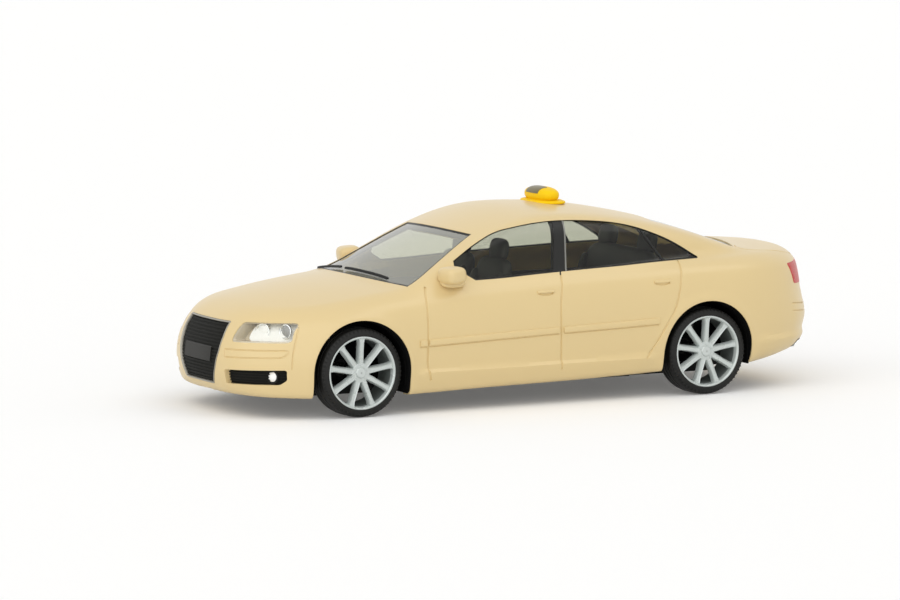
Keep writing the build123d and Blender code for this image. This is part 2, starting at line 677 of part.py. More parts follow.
def sign_foot():
    """Flared foot between the roof and the sign, cut to the roof's curve."""
    size = (SIGN_WIDTH + 2 * SIGN_FLARE, SIGN_DEPTH + 2 * SIGN_FLARE, SIGN_HEIGHT)
    return block(size, (0, SIGN_Y, ROOF_AT_SIGN + SIGN_LIFT), align=HANGING) - WHOLE


def plate(height_share, sunk, reach):
    """Blank number plate on the nose or the tail, its face sunk below the body's surface."""
    half_width = PLATE_WIDTH / WIDTH
    half_height = PLATE_HEIGHT / HEIGHT / 2
    low, high = height_share - half_height, height_share + half_height
    shares = [(-half_width, low), (half_width, low), (half_width, high), (-half_width, high)]
    return layer(sunk, sunk + PLATE_THICKNESS, shares, reach, 0)


def grille_frame():
    ring = layer(SEAT_DEPTH, WALL, GRILLE_SHARES, -OVERRUN)
    return ring - end_prism(GRILLE_SHARES, -OVERRUN, -FIT - GRILLE_FRAME)


def grille():
    return layer(PLATE_THICKNESS + FIT, WALL, GRILLE_SHARES, -OVERRUN, -2 * FIT - GRILLE_FRAME)


def write(name, shape):
    solids = shape.solids()
    print(name, len(solids), round(shape.volume, 2), all(solid.is_valid for solid in solids))
    export_step(shape if len(solids) == 1 else Compound(children=list(solids)), f"parts/{name}.step")


write("body_shell", body_shell())
write("glazing", glazing())
write("interior", tub())
write("front_seat_left", seat(SEAT_WIDTH, FRONT_SEAT_X, FRONT_SEAT_Y, [0]))
write("front_seat_right", seat(SEAT_WIDTH, -FRONT_SEAT_X, FRONT_SEAT_Y, [0]))
write("rear_bench", seat(REAR_BENCH_WIDTH, 0, REAR_SEAT_Y, [-FRONT_SEAT_X, FRONT_SEAT_X]))
write("steering_wheel", steering_wheel())
write("chassis", chassis())
for end, axle_y in (("front", FRONT_AXLE_Y), ("rear", REAR_AXLE_Y)):
    write(f"{end}_axle", axle(axle_y))
    for side, turn in (("left", 0), ("right", 180)):
        place = Pos(0, axle_y, TYRE_RADIUS) * Rot(0, 0, turn) * Pos(WHEEL_FACE_X, 0, 0)
        write(f"{end}_rim_{side}", place * rim())
        write(f"{end}_tyre_{side}", place * tyre())
LEFT_PIECES = {
    "headlight": layer(SEAT_DEPTH, LAMP_DEPTH, HEADLIGHT_SHARES, -OVERRUN),
    "lower_grille": lower_grille(),
    "fog_lamp": fog_lamp(),
    "tail_light": layer(SEAT_DEPTH, LAMP_DEPTH, TAIL_LIGHT_SHARES, OVERRUN),
    "exhaust_trim": layer(SEAT_DEPTH, LAMP_DEPTH, EXHAUST_TRIM_SHARES, OVERRUN),
    "mirror": mirror_body(),
}
for name, shape in LEFT_PIECES.items():
    for side, placed in zip(("left", "right"), both_sides(shape)):
        write(f"{name}_{side}", placed)
write("grille", grille())
write("grille_frame", grille_frame())
write("front_plate", plate(FRONT_PLATE_SHARE, 0, -OVERRUN))
write("rear_plate", plate(REAR_PLATE_SHARE, -PLATE_THICKNESS, OVERRUN))
write("wipers", wipers())
write("roof_sign", roof_sign())
write("sign_panel", sign_panel())
write("sign_foot", sign_foot())
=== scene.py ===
import math

import bmesh
import bpy
import numpy as np
from mathutils import Matrix, Vector


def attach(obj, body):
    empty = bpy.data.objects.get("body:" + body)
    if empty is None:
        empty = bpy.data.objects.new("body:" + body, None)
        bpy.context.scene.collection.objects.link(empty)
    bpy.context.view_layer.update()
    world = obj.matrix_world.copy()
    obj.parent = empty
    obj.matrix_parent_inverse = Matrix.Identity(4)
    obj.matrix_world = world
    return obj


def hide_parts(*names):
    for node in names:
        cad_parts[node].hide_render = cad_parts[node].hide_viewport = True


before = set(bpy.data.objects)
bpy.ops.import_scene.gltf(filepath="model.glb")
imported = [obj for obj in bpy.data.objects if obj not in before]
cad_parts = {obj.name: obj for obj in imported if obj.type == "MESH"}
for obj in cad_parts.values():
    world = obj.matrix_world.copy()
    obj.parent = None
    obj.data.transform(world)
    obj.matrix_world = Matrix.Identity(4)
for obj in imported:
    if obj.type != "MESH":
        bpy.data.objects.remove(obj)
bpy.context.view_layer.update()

# Lengths in this script are millimetres in the frame's axes, turned to metres when a mesh is made.
# The road is at zero, the nose points to -Y and the car's left side is +X.
METRES = 0.001
HALF_WIDTH = 10.9
FRONT_AXLE_Y = -18.4
REAR_AXLE_Y = 15.44
TYRE_RADIUS = 3.84
WALL = 0.75
# The sign of X on each side, and the side's name
SIDES = {1: "left", -1: "right"}

# The body's surface is found by rays from an axis inside the car
RAY_AXIS_Z = 6.4
RAY_FRONT_Y = -20.5
RAY_REAR_Y = 20.0
RAY_REACH, PLAN_REACH = 26.0, 32
RAY_HALVINGS = 34
# Grids of rays: step between rings, rays in a ring, rings of each end's cap
FINE_GRID, COARSE_GRID, INNER_GRID = (0.28, 300, 34), (0.4, 220, 20), (0.6, 140, 16)
# Steps between the points of long, short, fine and closed paths on the body
PATH_STEP, CUT_STEP, FINE_STEP, RING_STEP = 0.3, 0.2, 0.12, 0.15


def curve(points):
    """Smooth function through (place, value) pairs: cubic pieces, straight past the ends."""
    knots = np.array([p[0] for p in points], float)
    values = np.array([p[1] for p in points], float)
    steps = np.diff(knots)
    slopes = np.diff(values) / steps
    tangents = np.empty_like(values)
    tangents[1:-1] = (slopes[:-1] * steps[1:] + slopes[1:] * steps[:-1]) / (steps[1:] + steps[:-1])
    tangents[0], tangents[-1] = slopes[0], slopes[-1]

    def value(place):
        place = np.asarray(place, float)
        low = np.clip(np.searchsorted(knots, place, side="right") - 1, 0, len(steps) - 1)
        step = steps[low]
        t = (place - knots[low]) / step
        inside = np.clip(t, 0, 1)
        a = values[low] * (1 + 2 * inside) * (1 - inside) ** 2
        b = values[low + 1] * inside ** 2 * (3 - 2 * inside)
        c = tangents[low] * step * inside * (1 - inside) ** 2
        d = tangents[low + 1] * step * inside ** 2 * (inside - 1)
        past = np.where(t > 1, tangents[low + 1], tangents[low]) * (t - inside) * step
        return a + b + c + d + past

    return value


def soft_max(a, b, blend):
    """The greater of two fields, rounded over where they are within the blend of each other."""
    return np.maximum(a, b) + np.maximum(blend - np.abs(a - b), 0) ** 2 / (4 * blend)


def soft_min(a, b, blend):
    """The lesser of two fields, rounded in the same way."""
    return -soft_max(-a, -b, blend)


# Height of the shoulder line along the car
belt = curve([(-28.5, 7.5), (-23.5, 8.75), (-18.5, 9.75), (-12.5, 10.55), (-1.5, 11.3), (8.5, 11.7),
              (16.5, 11.95), (22.5, 11.9), (28.5, 11.3)])
# How far the side lies inside the half width, by the depth below the shoulder line
side_tuck = curve([(-3.0, 4.2), (-1.5, 2.45), (0.0, 1.25), (0.7, 0.72), (1.7, 0.32), (3.0, 0.08), (5.2, 0.0),
                   (7.4, 0.17), (8.3, 0.32), (9.6, 0.62), (12.0, 1.4)])
# Nose and tail on the centre line, by height
nose = curve([(0.5, -27.6), (1.6, -28.2), (2.3, -28.6), (3.3, -28.95), (5.0, -29.1), (6.3, -28.85),
              (8.1, -28.05), (8.9, -27.55), (9.6, -26.7), (10.4, -25.2), (13.0, -19.0)])
tail = curve([(1.5, 20.0), (2.3, 23.4), (2.9, 26.2), (3.4, 27.7), (4.2, 28.65), (5.2, 28.85), (6.2, 29.1),
              (7.1, 28.98), (7.9, 28.78), (8.6, 28.62), (9.6, 28.48), (10.6, 28.35), (11.4, 28.2),
              (12.2, 27.8), (14.0, 25.0)])
# Where nose and tail start to round in, and the powers of their plan curves
NOSE_START_Y, NOSE_POWER, NOSE_WIDTH_POWER = -18.5, 2.3, 2.95
TAIL_START_Y, TAIL_POWER = 16.5, 2.6
# Bonnet and boot on the centre line, and the underside
crown = curve([(-29.0, 8.1), (-27.5, 8.95), (-26.0, 9.55), (-23.7, 10.15), (-21.7, 10.5), (-17.5, 11.05),
               (-13.5, 11.4), (0.0, 11.9), (14.5, 12.35), (20.0, 12.5), (24.5, 12.4), (27.5, 12.15),
               (29.5, 11.8)])
underside = curve([(-29.0, 1.95), (-13.8, 1.68), (-5.0, 1.86), (6.6, 2.08), (10.6, 2.23), (19.0, 2.4),
                   (24.0, 2.6), (29.0, 3.5)])
sill_line = curve([(-14.0, 3.88), (-5.3, 3.92), (2.6, 3.92), (9.3, 4.0), (12.0, 4.1)])
CROWN_HALF = 9.6
SHOULDER_BLEND, UNDERSIDE_BLEND, BELT_BLEND = 1.3, 0.5, 0.7
# Small forms on the side: the flare round an arch, the sill's, valance's and bumper's steps
FLARE, FLARE_RADIUS, FLARE_WIDTH = 0.14, 4.7, 0.45
SILL_STEP, SILL_STEP_FADE, SILL_FRONT_Y, SILL_REAR_Y, SILL_FADE_Y = 0.24, 0.32, -13.6, 10.6, 1.2
VALANCE_STEP, VALANCE_Z, VALANCE_FRONT_Y = 0.30, 4.92, 20.0
BUMPER_STEP, BUMPER_TOP_Z, BUMPER_FRONT_Y = 0.1, 7.45, 24.6

# Glasshouse: half width at the belt, its lean, and the centre lines of screens and roof
CABIN_BELT_Z = 11.4
CABIN_FLOOR_Z = 10.0
CABIN_FLOOR_RISE, CABIN_RISE_FROM_Y, CABIN_RISE_OVER = 1.2, 16.0, 4.0
cabin_half = curve([(-17.5, 8.3), (-13.5, 8.85), (-9.5, 9.25), (-3.5, 9.5), (2.5, 9.55), (8.5, 9.4),
                    (14.5, 8.9), (18.5, 8.3), (21.5, 7.75), (25.0, 7.0)])
cabin_lean = curve([(-3.0, -0.8), (0.0, 0.0), (2.0, 0.66), (4.2, 1.5), (6.0, 2.4)])
windscreen = curve([(9.0, -19.3), (10.7, -15.9), (12.8, -11.5), (14.8, -7.3), (16.3, -3.9), (18.0, 0.5)])
rear_screen = curve([(10.5, 27.0), (11.5, 24.6), (12.5, 22.0), (14.0, 18.0), (15.4, 13.6), (16.5, 9.0),
                     (18.0, 2.0)])
ridge = curve([(-9.0, 15.1), (-7.0, 15.65), (-5.5, 16.05), (-4.5, 16.25), (-2.5, 16.57), (0.5, 16.8),
               (3.7, 16.75), (7.8, 16.42), (11.4, 15.9), (13.3, 15.55), (15.0, 15.2), (18.0, 14.4)])
SCREEN_BOW, REAR_BOW, ROOF_BOW = 0.04, 0.035, 0.0125
SCREEN_SLANT, REAR_SLANT = 2.3, 2.9
SCREEN_BLEND, REAR_SCREEN_BLEND, ROOF_BLEND = 0.8, 1.0, 1.3


def lower_body(x, y, z):
    """Rough distance outside the body below its windows, negative inside."""
    half = HALF_WIDTH - side_tuck(belt(y) - z)
    half = half + arch_lip(y, z) + sill_ridge(y, z) + valance_ridge(y, z) + bumper_step(y, z)
    front = np.maximum(NOSE_START_Y - y, 0) / np.maximum(NOSE_START_Y - nose(z), 1)
    rear = np.maximum(y - TAIL_START_Y, 0) / np.maximum(tail(z) - TAIL_START_Y, 1)
    wide = np.abs(x) / np.maximum(half, 1)
    power = NOSE_POWER + (NOSE_WIDTH_POWER - NOSE_POWER) * np.clip(front * 1.5, 0, 1)
    plan_front = (wide ** power + front ** NOSE_POWER) ** (1 / NOSE_POWER) - 1
    plan_rear = (wide ** TAIL_POWER + rear ** TAIL_POWER) ** (1 / TAIL_POWER) - 1
    plan = np.where(y < 0, plan_front, plan_rear) * HALF_WIDTH
    top = z - crown(y) + (crown(y) - belt(y)) * (x / CROWN_HALF) ** 2
    low = underside(y) - z
    return soft_max(soft_max(plan, top, SHOULDER_BLEND), low, UNDERSIDE_BLEND)


def arch_lip(y, z):
    """Slight flare of the side round each wheel arch."""
    flare = 0
    for axle_y in (FRONT_AXLE_Y, REAR_AXLE_Y):
        reach = np.hypot(y - axle_y, np.maximum(z - TYRE_RADIUS, 0))
        flare = flare + FLARE * np.exp(-((reach - FLARE_RADIUS) / FLARE_WIDTH) ** 2)
    return flare


def sill_ridge(y, z):
    """Step outwards along the top of the sill between the wheel arches, fading out below."""
    after_front = np.clip((y - SILL_FRONT_Y) / SILL_FADE_Y, 0, 1)
    before_rear = np.clip((SILL_REAR_Y - y) / SILL_FADE_Y, 0, 1)
    drop = sill_line(y) - z
    fade = np.clip(drop / SILL_STEP_FADE, 0, 1) * np.clip((2.1 - drop) / 1.6, 0, 1)
    return SILL_STEP * after_front * before_rear * fade


def valance_ridge(y, z):
    """Soft crease over the lower edge of the rear bumper."""
    along = np.clip((y - VALANCE_FRONT_Y) / 1.5, 0, 1)
    drop = VALANCE_Z - z
    return VALANCE_STEP * along * np.clip(drop / 0.35, 0, 1) * np.clip((2.2 - drop) / 1.7, 0, 1)


def bumper_step(y, z):
    """The rear bumper standing a little proud of the wing near the tail."""
    along = np.clip((y - BUMPER_FRONT_Y) / 0.35, 0, 1)
    return BUMPER_STEP * along * np.clip((BUMPER_TOP_Z - z) / 0.2, 0, 1)


def cabin(x, y, z):
    """Rough distance outside the glasshouse."""
    side = np.abs(x) - cabin_half(y) + cabin_lean(z - CABIN_BELT_Z)
    front = (windscreen(z) + SCREEN_BOW * x ** 2 - y) / SCREEN_SLANT
    rear = (y - rear_screen(z) + REAR_BOW * x ** 2) / REAR_SLANT
    roof = z - ridge(y) + ROOF_BOW * x ** 2
    walls = soft_max(soft_max(side, front, SCREEN_BLEND), rear, REAR_SCREEN_BLEND)
    walls = soft_max(walls, roof, ROOF_BLEND)
    floor_z = CABIN_FLOOR_Z + CABIN_FLOOR_RISE * np.clip((y - CABIN_RISE_FROM_Y) / CABIN_RISE_OVER, 0, 1)
    return np.maximum(walls, floor_z - z)


def body(x, y, z):
    """Rough distance outside the whole body."""
    return soft_min(lower_body(x, y, z), cabin(x, y, z), BELT_BLEND)


def surface_along(field, start, direction, level=0.0, reach=RAY_REACH):
    """Points where rays from start leave the field's level, found by halving."""
    near = np.zeros(direction.shape[:-1])
    far = np.full(direction.shape[:-1], reach)
    for _ in range(RAY_HALVINGS):
        middle = (near + far) / 2
        spot = start + direction * middle[..., None]
        inside = field(spot[..., 0], spot[..., 1], spot[..., 2]) < level
        near = np.where(inside, middle, near)
        far = np.where(inside, far, middle)
    return start + direction * ((near + far) / 2)[..., None]


def ray_grid(ring_step, spokes, cap_rings):
    """Starts and directions of rays round the car: rings along its length, fans at both ends."""
    turns = np.linspace(0, 2 * math.pi, spokes, endpoint=False)
    across = np.stack([np.cos(turns), np.zeros(spokes), np.sin(turns)], axis=-1)
    stations = np.arange(RAY_FRONT_Y, RAY_REAR_Y + ring_step / 2, ring_step)
    rings = []
    for lift in np.linspace(math.pi / 2, 0, cap_rings + 1)[1:-1]:
        rings.append((RAY_FRONT_Y, math.cos(lift) * across + [0, -math.sin(lift), 0]))
    for station in stations:
        rings.append((station, across))
    for lift in np.linspace(0, math.pi / 2, cap_rings + 1)[1:-1]:
        rings.append((stations[-1], math.cos(lift) * across + [0, math.sin(lift), 0]))
    starts = np.array([[[0, place, RAY_AXIS_Z]] * spokes for place, _ in rings])
    return starts, np.array([way for _, way in rings])


def closed_skin(field, level, ring_step, spokes, cap_rings):
    """Vertices and faces of the closed surface where the field has the level."""
    starts, ways = ray_grid(ring_step, spokes, cap_rings)
    spots = surface_along(field, starts, ways, level)
    rings = spots.shape[0]
    front = surface_along(field, starts[0, :1], np.array([[0, -1.0, 0]]), level)
    rear = surface_along(field, starts[-1, :1], np.array([[0, 1.0, 0]]), level)
    vertices = np.concatenate([spots.reshape(-1, 3), front, rear])
    faces = []
    for ring in range(rings - 1):
        for spoke in range(spokes):
            after = (spoke + 1) % spokes
            a, b = ring * spokes + spoke, ring * spokes + after
            faces.append((a, a + spokes, b + spokes, b))
    last = (rings - 1) * spokes
    for spoke in range(spokes):
        after = (spoke + 1) % spokes
        faces.append((rings * spokes, spoke, after))
        faces.append((rings * spokes + 1, last + after, last + spoke))
    return vertices, faces


def mesh_piece(name, vertices, faces, smooth=True):
    """A new object whose mesh has these vertices, given in millimetres."""
    mesh = bpy.data.meshes.new(name)
    places = [tuple(v * METRES for v in vertex) for vertex in np.asarray(vertices).tolist()]
    mesh.from_pydata(places, [], faces)
    mesh.update()
    if smooth:
        mesh.shade_smooth()
    piece = bpy.data.objects.new(name, mesh)
    bpy.context.scene.collection.objects.link(piece)
    return piece


def prism_mesh(name, outline, low, high, axis):
    """A closed prism of a flat outline of (u, v) points, from low to high along the axis."""
    count = len(outline)
    flat = [(u, v, w) for w in (low, high) for u, v in outline]
    order = {"X": (2, 0, 1), "Y": (0, 2, 1), "Z": (0, 1, 2)}[axis]
    vertices = [tuple(spot[place] for place in order) for spot in flat]
    faces = [tuple(range(count - 1, -1, -1)), tuple(range(count, 2 * count))]
    faces += [(i, (i + 1) % count, count + (i + 1) % count, count + i) for i in range(count)]
    piece = mesh_piece(name, vertices, faces, smooth=False)
    turn_outwards(piece)
    return piece


def turn_outwards(piece):
    """Faces of a closed mesh turned to point out of it."""
    work = bmesh.new()
    work.from_mesh(piece.data)
    bmesh.ops.remove_doubles(work, verts=work.verts, dist=1e-7)
    bmesh.ops.recalc_face_normals(work, faces=work.faces)
    work.to_mesh(piece.data)
    work.free()


def combine(piece, other, how="DIFFERENCE"):
    """The piece cut by, joined to or kept within another one, which is then deleted."""
    step = piece.modifiers.new("cut", "BOOLEAN")
    step.operation = how
    step.solver = "MANIFOLD"
    step.object = other
    bpy.context.view_layer.update()
    shaped = bpy.data.meshes.new_from_object(piece.evaluated_get(bpy.context.evaluated_depsgraph_get()))
    piece.modifiers.clear()
    old = piece.data
    piece.data = shaped
    bpy.data.meshes.remove(old)
    bpy.data.objects.remove(other)
    return piece


def joined(name, pieces):
    """One object made of the pieces' meshes, with their materials kept."""
    work = bmesh.new()
    materials = []
    for piece in pieces:
        start = len(work.faces)
        work.from_mesh(piece.data)
        work.faces.ensure_lookup_table()
        own = list(piece.data.materials)
        for material in own:
            if material not in materials:
                materials.append(material)
        for face in work.faces[start:]:
            if own:
                face.material_index = materials.index(own[min(face.material_index, len(own) - 1)])
        bpy.data.objects.remove(piece)
    mesh = bpy.data.meshes.new(name)
    work.to_mesh(mesh)
    work.free()
    for material in materials:
        mesh.materials.append(material)
    whole = bpy.data.objects.new(name, mesh)
    bpy.context.scene.collection.objects.link(whole)
    return whole


def dress(piece, material, angle=35):
    """The piece in one material, shaded smooth except across edges sharper than the angle."""
    piece.data.materials.clear()
    piece.data.materials.append(material)
    piece.data.shade_smooth()
    piece.data.set_sharp_from_angle(angle=math.radians(angle))
    return piece


def carried(piece, slot, *nodes, body="car"):
    """The piece in place of these nodes and moving with the body; the slot is not used."""
    if nodes:
        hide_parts(*nodes)
    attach(piece, body)


def rounded_corners(corners, radius, per_corner=6):
    """Closed outline through the corners, each turned into a small arc."""
    corners = [np.array(c, float) for c in corners]
    spots = []
    for i, corner in enumerate(corners):
        before, after = corners[i - 1] - corner, corners[(i + 1) % len(corners)] - corner
        reach = min(radius, np.linalg.norm(before) / 2.2, np.linalg.norm(after) / 2.2)
        start = corner + before / np.linalg.norm(before) * reach
        end = corner + after / np.linalg.norm(after) * reach
        for t in np.linspace(0, 1, per_corner):
            spots.append((1 - t) ** 2 * start + 2 * t * (1 - t) * corner + t ** 2 * end)
    return np.array(spots)


def spaced(path, step, closed=False):
    """The path with more points on its straight runs, its own points kept."""
    path = [np.array(p, float) for p in path]
    ends = path[1:] + path[:1] if closed else path[1:]
    spots = []
    for start, end in zip(path, ends):
        count = max(1, math.ceil(np.linalg.norm(end - start) / step))
        spots += [start + (end - start) * i / count for i in range(count)]
    if not closed:
        spots.append(path[-1])
    return np.array(spots)


def flowing(points, step):
    """Evenly spaced points along a smooth line through the given ones."""
    points = np.array(points, float)
    run = np.concatenate([[0], np.cumsum(np.linalg.norm(np.diff(points, axis=0), axis=1))])
    marks = np.linspace(0, run[-1], max(2, math.ceil(run[-1] / step) + 1))
    parts = [curve(list(zip(run, points[:, axis])))(marks) for axis in range(points.shape[1])]
    return np.stack(parts, axis=1)


# Where the rays of each flat view start, and from where to where its openings reach
SEEN_FROM = {"side": 0.0, "front": -18.0, "rear": 17.0, "top": 9.4}
OPENING_REACH = {"side": (2, 14), "front": (-34, -22.6), "rear": (16, 34), "top": (9.6, 20)}
VIEW_AXIS = {"side": "X", "front": "Y", "rear": "Y", "top": "Z"}


def seen(view, spots, level, side=1):
    """Points at the body's level behind the spots of a flat view: side, front, rear or top."""
    u, v = spots[:, 0], spots[:, 1]
    from_place = np.full_like(u, SEEN_FROM[view])
    start, way = {
        "side": (np.stack([from_place, u, v], 1), (side, 0, 0)),
        "front": (np.stack([u, from_place, v], 1), (0, -1, 0)),
        "rear": (np.stack([u, from_place, v], 1), (0, 1, 0)),
        "top": (np.stack([u, v, from_place], 1), (0, 0, 1)),
    }[view]
    return surface_along(body, start, np.array([way] * len(u), float), level)


def band(name, path, profile, view, side=1, closed=False):
    """A closed strip along a path of a flat view, its profile in offsets across and body levels."""
    path = np.array(path, float)
    if closed:
        back, ahead = path - np.roll(path, 1, axis=0), np.roll(path, -1, axis=0) - path
    else:
        steps = np.diff(path, axis=0)
        back, ahead = np.concatenate([steps[:1], steps]), np.concatenate([steps, steps[-1:]])
    way = back / np.linalg.norm(back, axis=1)[:, None] + ahead / np.linalg.norm(ahead, axis=1)[:, None]
    way /= np.linalg.norm(way, axis=1)[:, None]
    normal = np.stack([-way[:, 1], way[:, 0]], axis=1)
    rows = np.stack([seen(view, path + normal * offset, level, side) for offset, level in profile], axis=1)
    return lofted(name, rows, closed)


def lofted(name, rows, closed=False):
    """A closed mesh over rows of points, each row a closed loop, with flat ends unless it is a ring."""
    rows = np.asarray(rows, float)
    count, loop = rows.shape[:2]
    faces = []
    for i in range(count if closed else count - 1):
        j = (i + 1) % count
        for k in range(loop):
            m = (k + 1) % loop
            faces.append((i * loop + k, i * loop + m, j * loop + m, j * loop + k))
    if not closed:
        faces += [tuple(range(loop)), tuple((count - 1) * loop + k for k in range(loop))]
    piece = mesh_piece(name, rows.reshape(-1, 3), faces)
    turn_outwards(piece)
    return piece


def turned(name, profile, centre, axis=(1, 0, 0), segments=64):
    """A ring or disc turned about an axis through the centre, from (along, radius) points in a loop."""
    axis = Vector(axis).normalized()
    side = axis.orthogonal().normalized()
    up = axis.cross(side)
    rows = []
    for i in range(segments):
        angle = 2 * math.pi * i / segments
        out = side * math.cos(angle) + up * math.sin(angle)
        rows.append([Vector(centre) + axis * along + out * radius for along, radius in profile])
    return lofted(name, rows, closed=True)


def pebble(name, centre, half, power=3.0, lean=(0, 0, 0), rings=24, spokes=40):
    """A rounded block: a ball whose sections are squared by the power, leaned by degrees."""
    def squared(value):
        return math.copysign(abs(value) ** (2 / power), value)

    turn = Matrix.Rotation(math.radians(lean[2]), 3, "Z") @ Matrix.Rotation(math.radians(lean[1]), 3, "Y")
    turn = turn @ Matrix.Rotation(math.radians(lean[0]), 3, "X")
    spots, faces = [], []
    for i in range(1, rings):
        rise = math.pi * (i / rings - 0.5)
        width, height = squared(math.cos(rise)), half[2] * squared(math.sin(rise))
        for j in range(spokes):
            swing = 2 * math.pi * j / spokes
            out = half[0] * width * squared(math.cos(swing))
            along = half[1] * width * squared(math.sin(swing))
            spots.append(Vector(centre) + turn @ Vector((out, along, height)))
    for i in range(rings - 2):
        for j in range(spokes):
            k = (j + 1) % spokes
            faces.append((i * spokes + j, i * spokes + k, (i + 1) * spokes + k, (i + 1) * spokes + j))
    up = turn @ Vector((0, 0, half[2]))
    spots += [Vector(centre) - up, Vector(centre) + up]
    last, top = len(spots) - 2, (rings - 2) * spokes
    for j in range(spokes):
        k = (j + 1) % spokes
        faces += [(last, k, j), (last + 1, top + j, top + k)]
    piece = mesh_piece(name, spots, faces)
    turn_outwards(piece)
    return piece


def skin(level, grid=FINE_GRID):
    """The body's closed surface at a level."""
    vertices, faces = closed_skin(body, level, *grid)
    return mesh_piece("skin", vertices, faces)


def layer(outer, inner, grid=COARSE_GRID):
    """The body's skin between two levels."""
    return combine(skin(outer, grid), skin(inner, grid))


def part_of(source, name, outline, view, side=1):
    """What lies of the source behind an outline of a flat view."""
    piece = bpy.data.objects.new(name, source.data.copy())
    bpy.context.scene.collection.objects.link(piece)
    return combine(piece, through(outline, view, side), "INTERSECT")


def through(outline, view, side=1):
    """A prism behind an outline of a flat view, on one side of the car's middle."""
    low, high = OPENING_REACH[view]
    if side < 0:
        low, high = -high, -low
    return prism_mesh("through", outline, low, high, VIEW_AXIS[view])


def plan_loop(level, z, front, rear, half):
    """The body's plan outline at a height and a level, kept within the given limits."""
    turns = np.linspace(0, 2 * math.pi, 181)[:-1]
    ways = np.stack([np.cos(turns), np.sin(turns), np.zeros(len(turns))], 1)
    spots = surface_along(body, np.array([[0.0, 0.0, z]] * len(turns)), ways, level, PLAN_REACH)
    return np.stack([np.clip(spots[:, 0], -half, half), np.clip(spots[:, 1], front, rear)], 1)


ARC_POINTS = 49


def arch_outline(axle_y, radius, foot):
    """Outline of a wheel arch seen from the side, with straight sides down to the foot."""
    turns = np.linspace(0, math.pi, ARC_POINTS)
    outline = [(axle_y + radius * math.cos(t), TYRE_RADIUS + radius * math.sin(t)) for t in turns]
    return outline + [(axle_y - radius, foot), (axle_y + radius, foot)]


def mirrored(outline):
    """The outline on the other side of the car's middle, going round the same way."""
    return [(-u, v) for u, v in reversed(np.asarray(outline).tolist())]


def on_side(outline, side):
    """The left side's outline itself, or its mirror image for the right side."""
    return outline if side > 0 else mirrored(outline)


# Side windows: lower and upper edge of the one opening on each side, height by place along the car
window_low = curve([(-7.0, 11.12), (-4.7, 11.18), (-0.8, 11.38), (3.2, 11.55), (7.2, 11.68), (11.3, 11.85),
                    (15.3, 11.95)])
window_high = curve([(-8.63, 12.77), (-7.84, 13.23), (-6.74, 13.85), (-5.66, 14.39), (-4.61, 14.85),
                     (-3.64, 15.16), (-2.72, 15.34), (-0.77, 15.62), (1.24, 15.75), (2.73, 15.75),
                     (4.21, 15.68), (6.2, 15.52), (7.66, 15.32), (9.07, 15.02), (10.94, 14.41),
                     (12.82, 13.6), (14.0, 12.95), (15.35, 12.08)])
SIDE_WINDOW = [(y, float(window_low(y))) for y in np.linspace(-7.0, 15.3, 56)]
SIDE_WINDOW += [(y, float(window_high(y))) for y in np.linspace(15.35, -8.63, 64)]
SIDE_WINDOW += [(-8.75, 12.4), (-8.0, 11.75)]
B_PILLAR = [(0.51, 11.2), (1.79, 11.2), (2.54, 16.2), (1.51, 16.2)]
QUARTER_BAR = [(9.9, 14.9), (10.45, 13.85), (11.1, 12.95), (11.95, 11.7)]
# Windscreen and rear window seen from above, their upper edges first
SCREEN_TOP_POINTS = 24
SCREEN = [(x, -6.55 + 0.0232 * x ** 2) for x in np.linspace(-6.15, 6.15, SCREEN_TOP_POINTS)]
SCREEN += [(x, -15.35 + 0.0292 * x ** 2) for x in np.linspace(8.65, -8.65, 30)]
REAR_WINDOW = [(x, 12.9 - 0.012 * x ** 2) for x in np.linspace(-5.5, 5.5, SCREEN_TOP_POINTS)]
REAR_WINDOW += [(x, 21.5 - 0.030 * x ** 2) for x in np.linspace(6.9, -6.9, 28)]
# Lamps and grilles of the left side seen from the front, (across, up)
HEADLIGHT = rounded_corners([(5.3, 8.16), (5.15, 6.5), (9.45, 6.6), (9.1, 8.24)], 0.35)
LOWER_GRILLE = rounded_corners([(4.8, 4.13), (4.75, 2.93), (9.15, 3.05), (9.5, 3.45), (9.52, 4.33)], 0.16)
GRILLE = rounded_corners([(-3.95, 8.12), (-4.08, 6.9), (-3.98, 5.6), (-3.55, 4.2), (-2.85, 2.68),
                          (2.85, 2.68), (3.55, 4.2), (3.98, 5.6), (4.08, 6.9), (3.95, 8.12)], 0.16)
BUMPER_PANEL = rounded_corners([(4.6, 5.85), (4.75, 5.2), (9.2, 5.36), (9.42, 5.62), (9.42, 5.98)], 0.16)
TAIL_LIGHT = rounded_corners([(4.3, 11.1), (4.7, 9.0), (8.5, 9.15), (8.45, 10.98)], 0.25)
EXHAUST_TRIM = rounded_corners([(5.12, 3.2), (8.28, 3.45), (8.18, 4.12), (5.22, 3.9)], 0.2)
FOG_LAMP_AT, FOG_LAMP_RADIUS = (8.38, -25.95, 3.72), 0.5

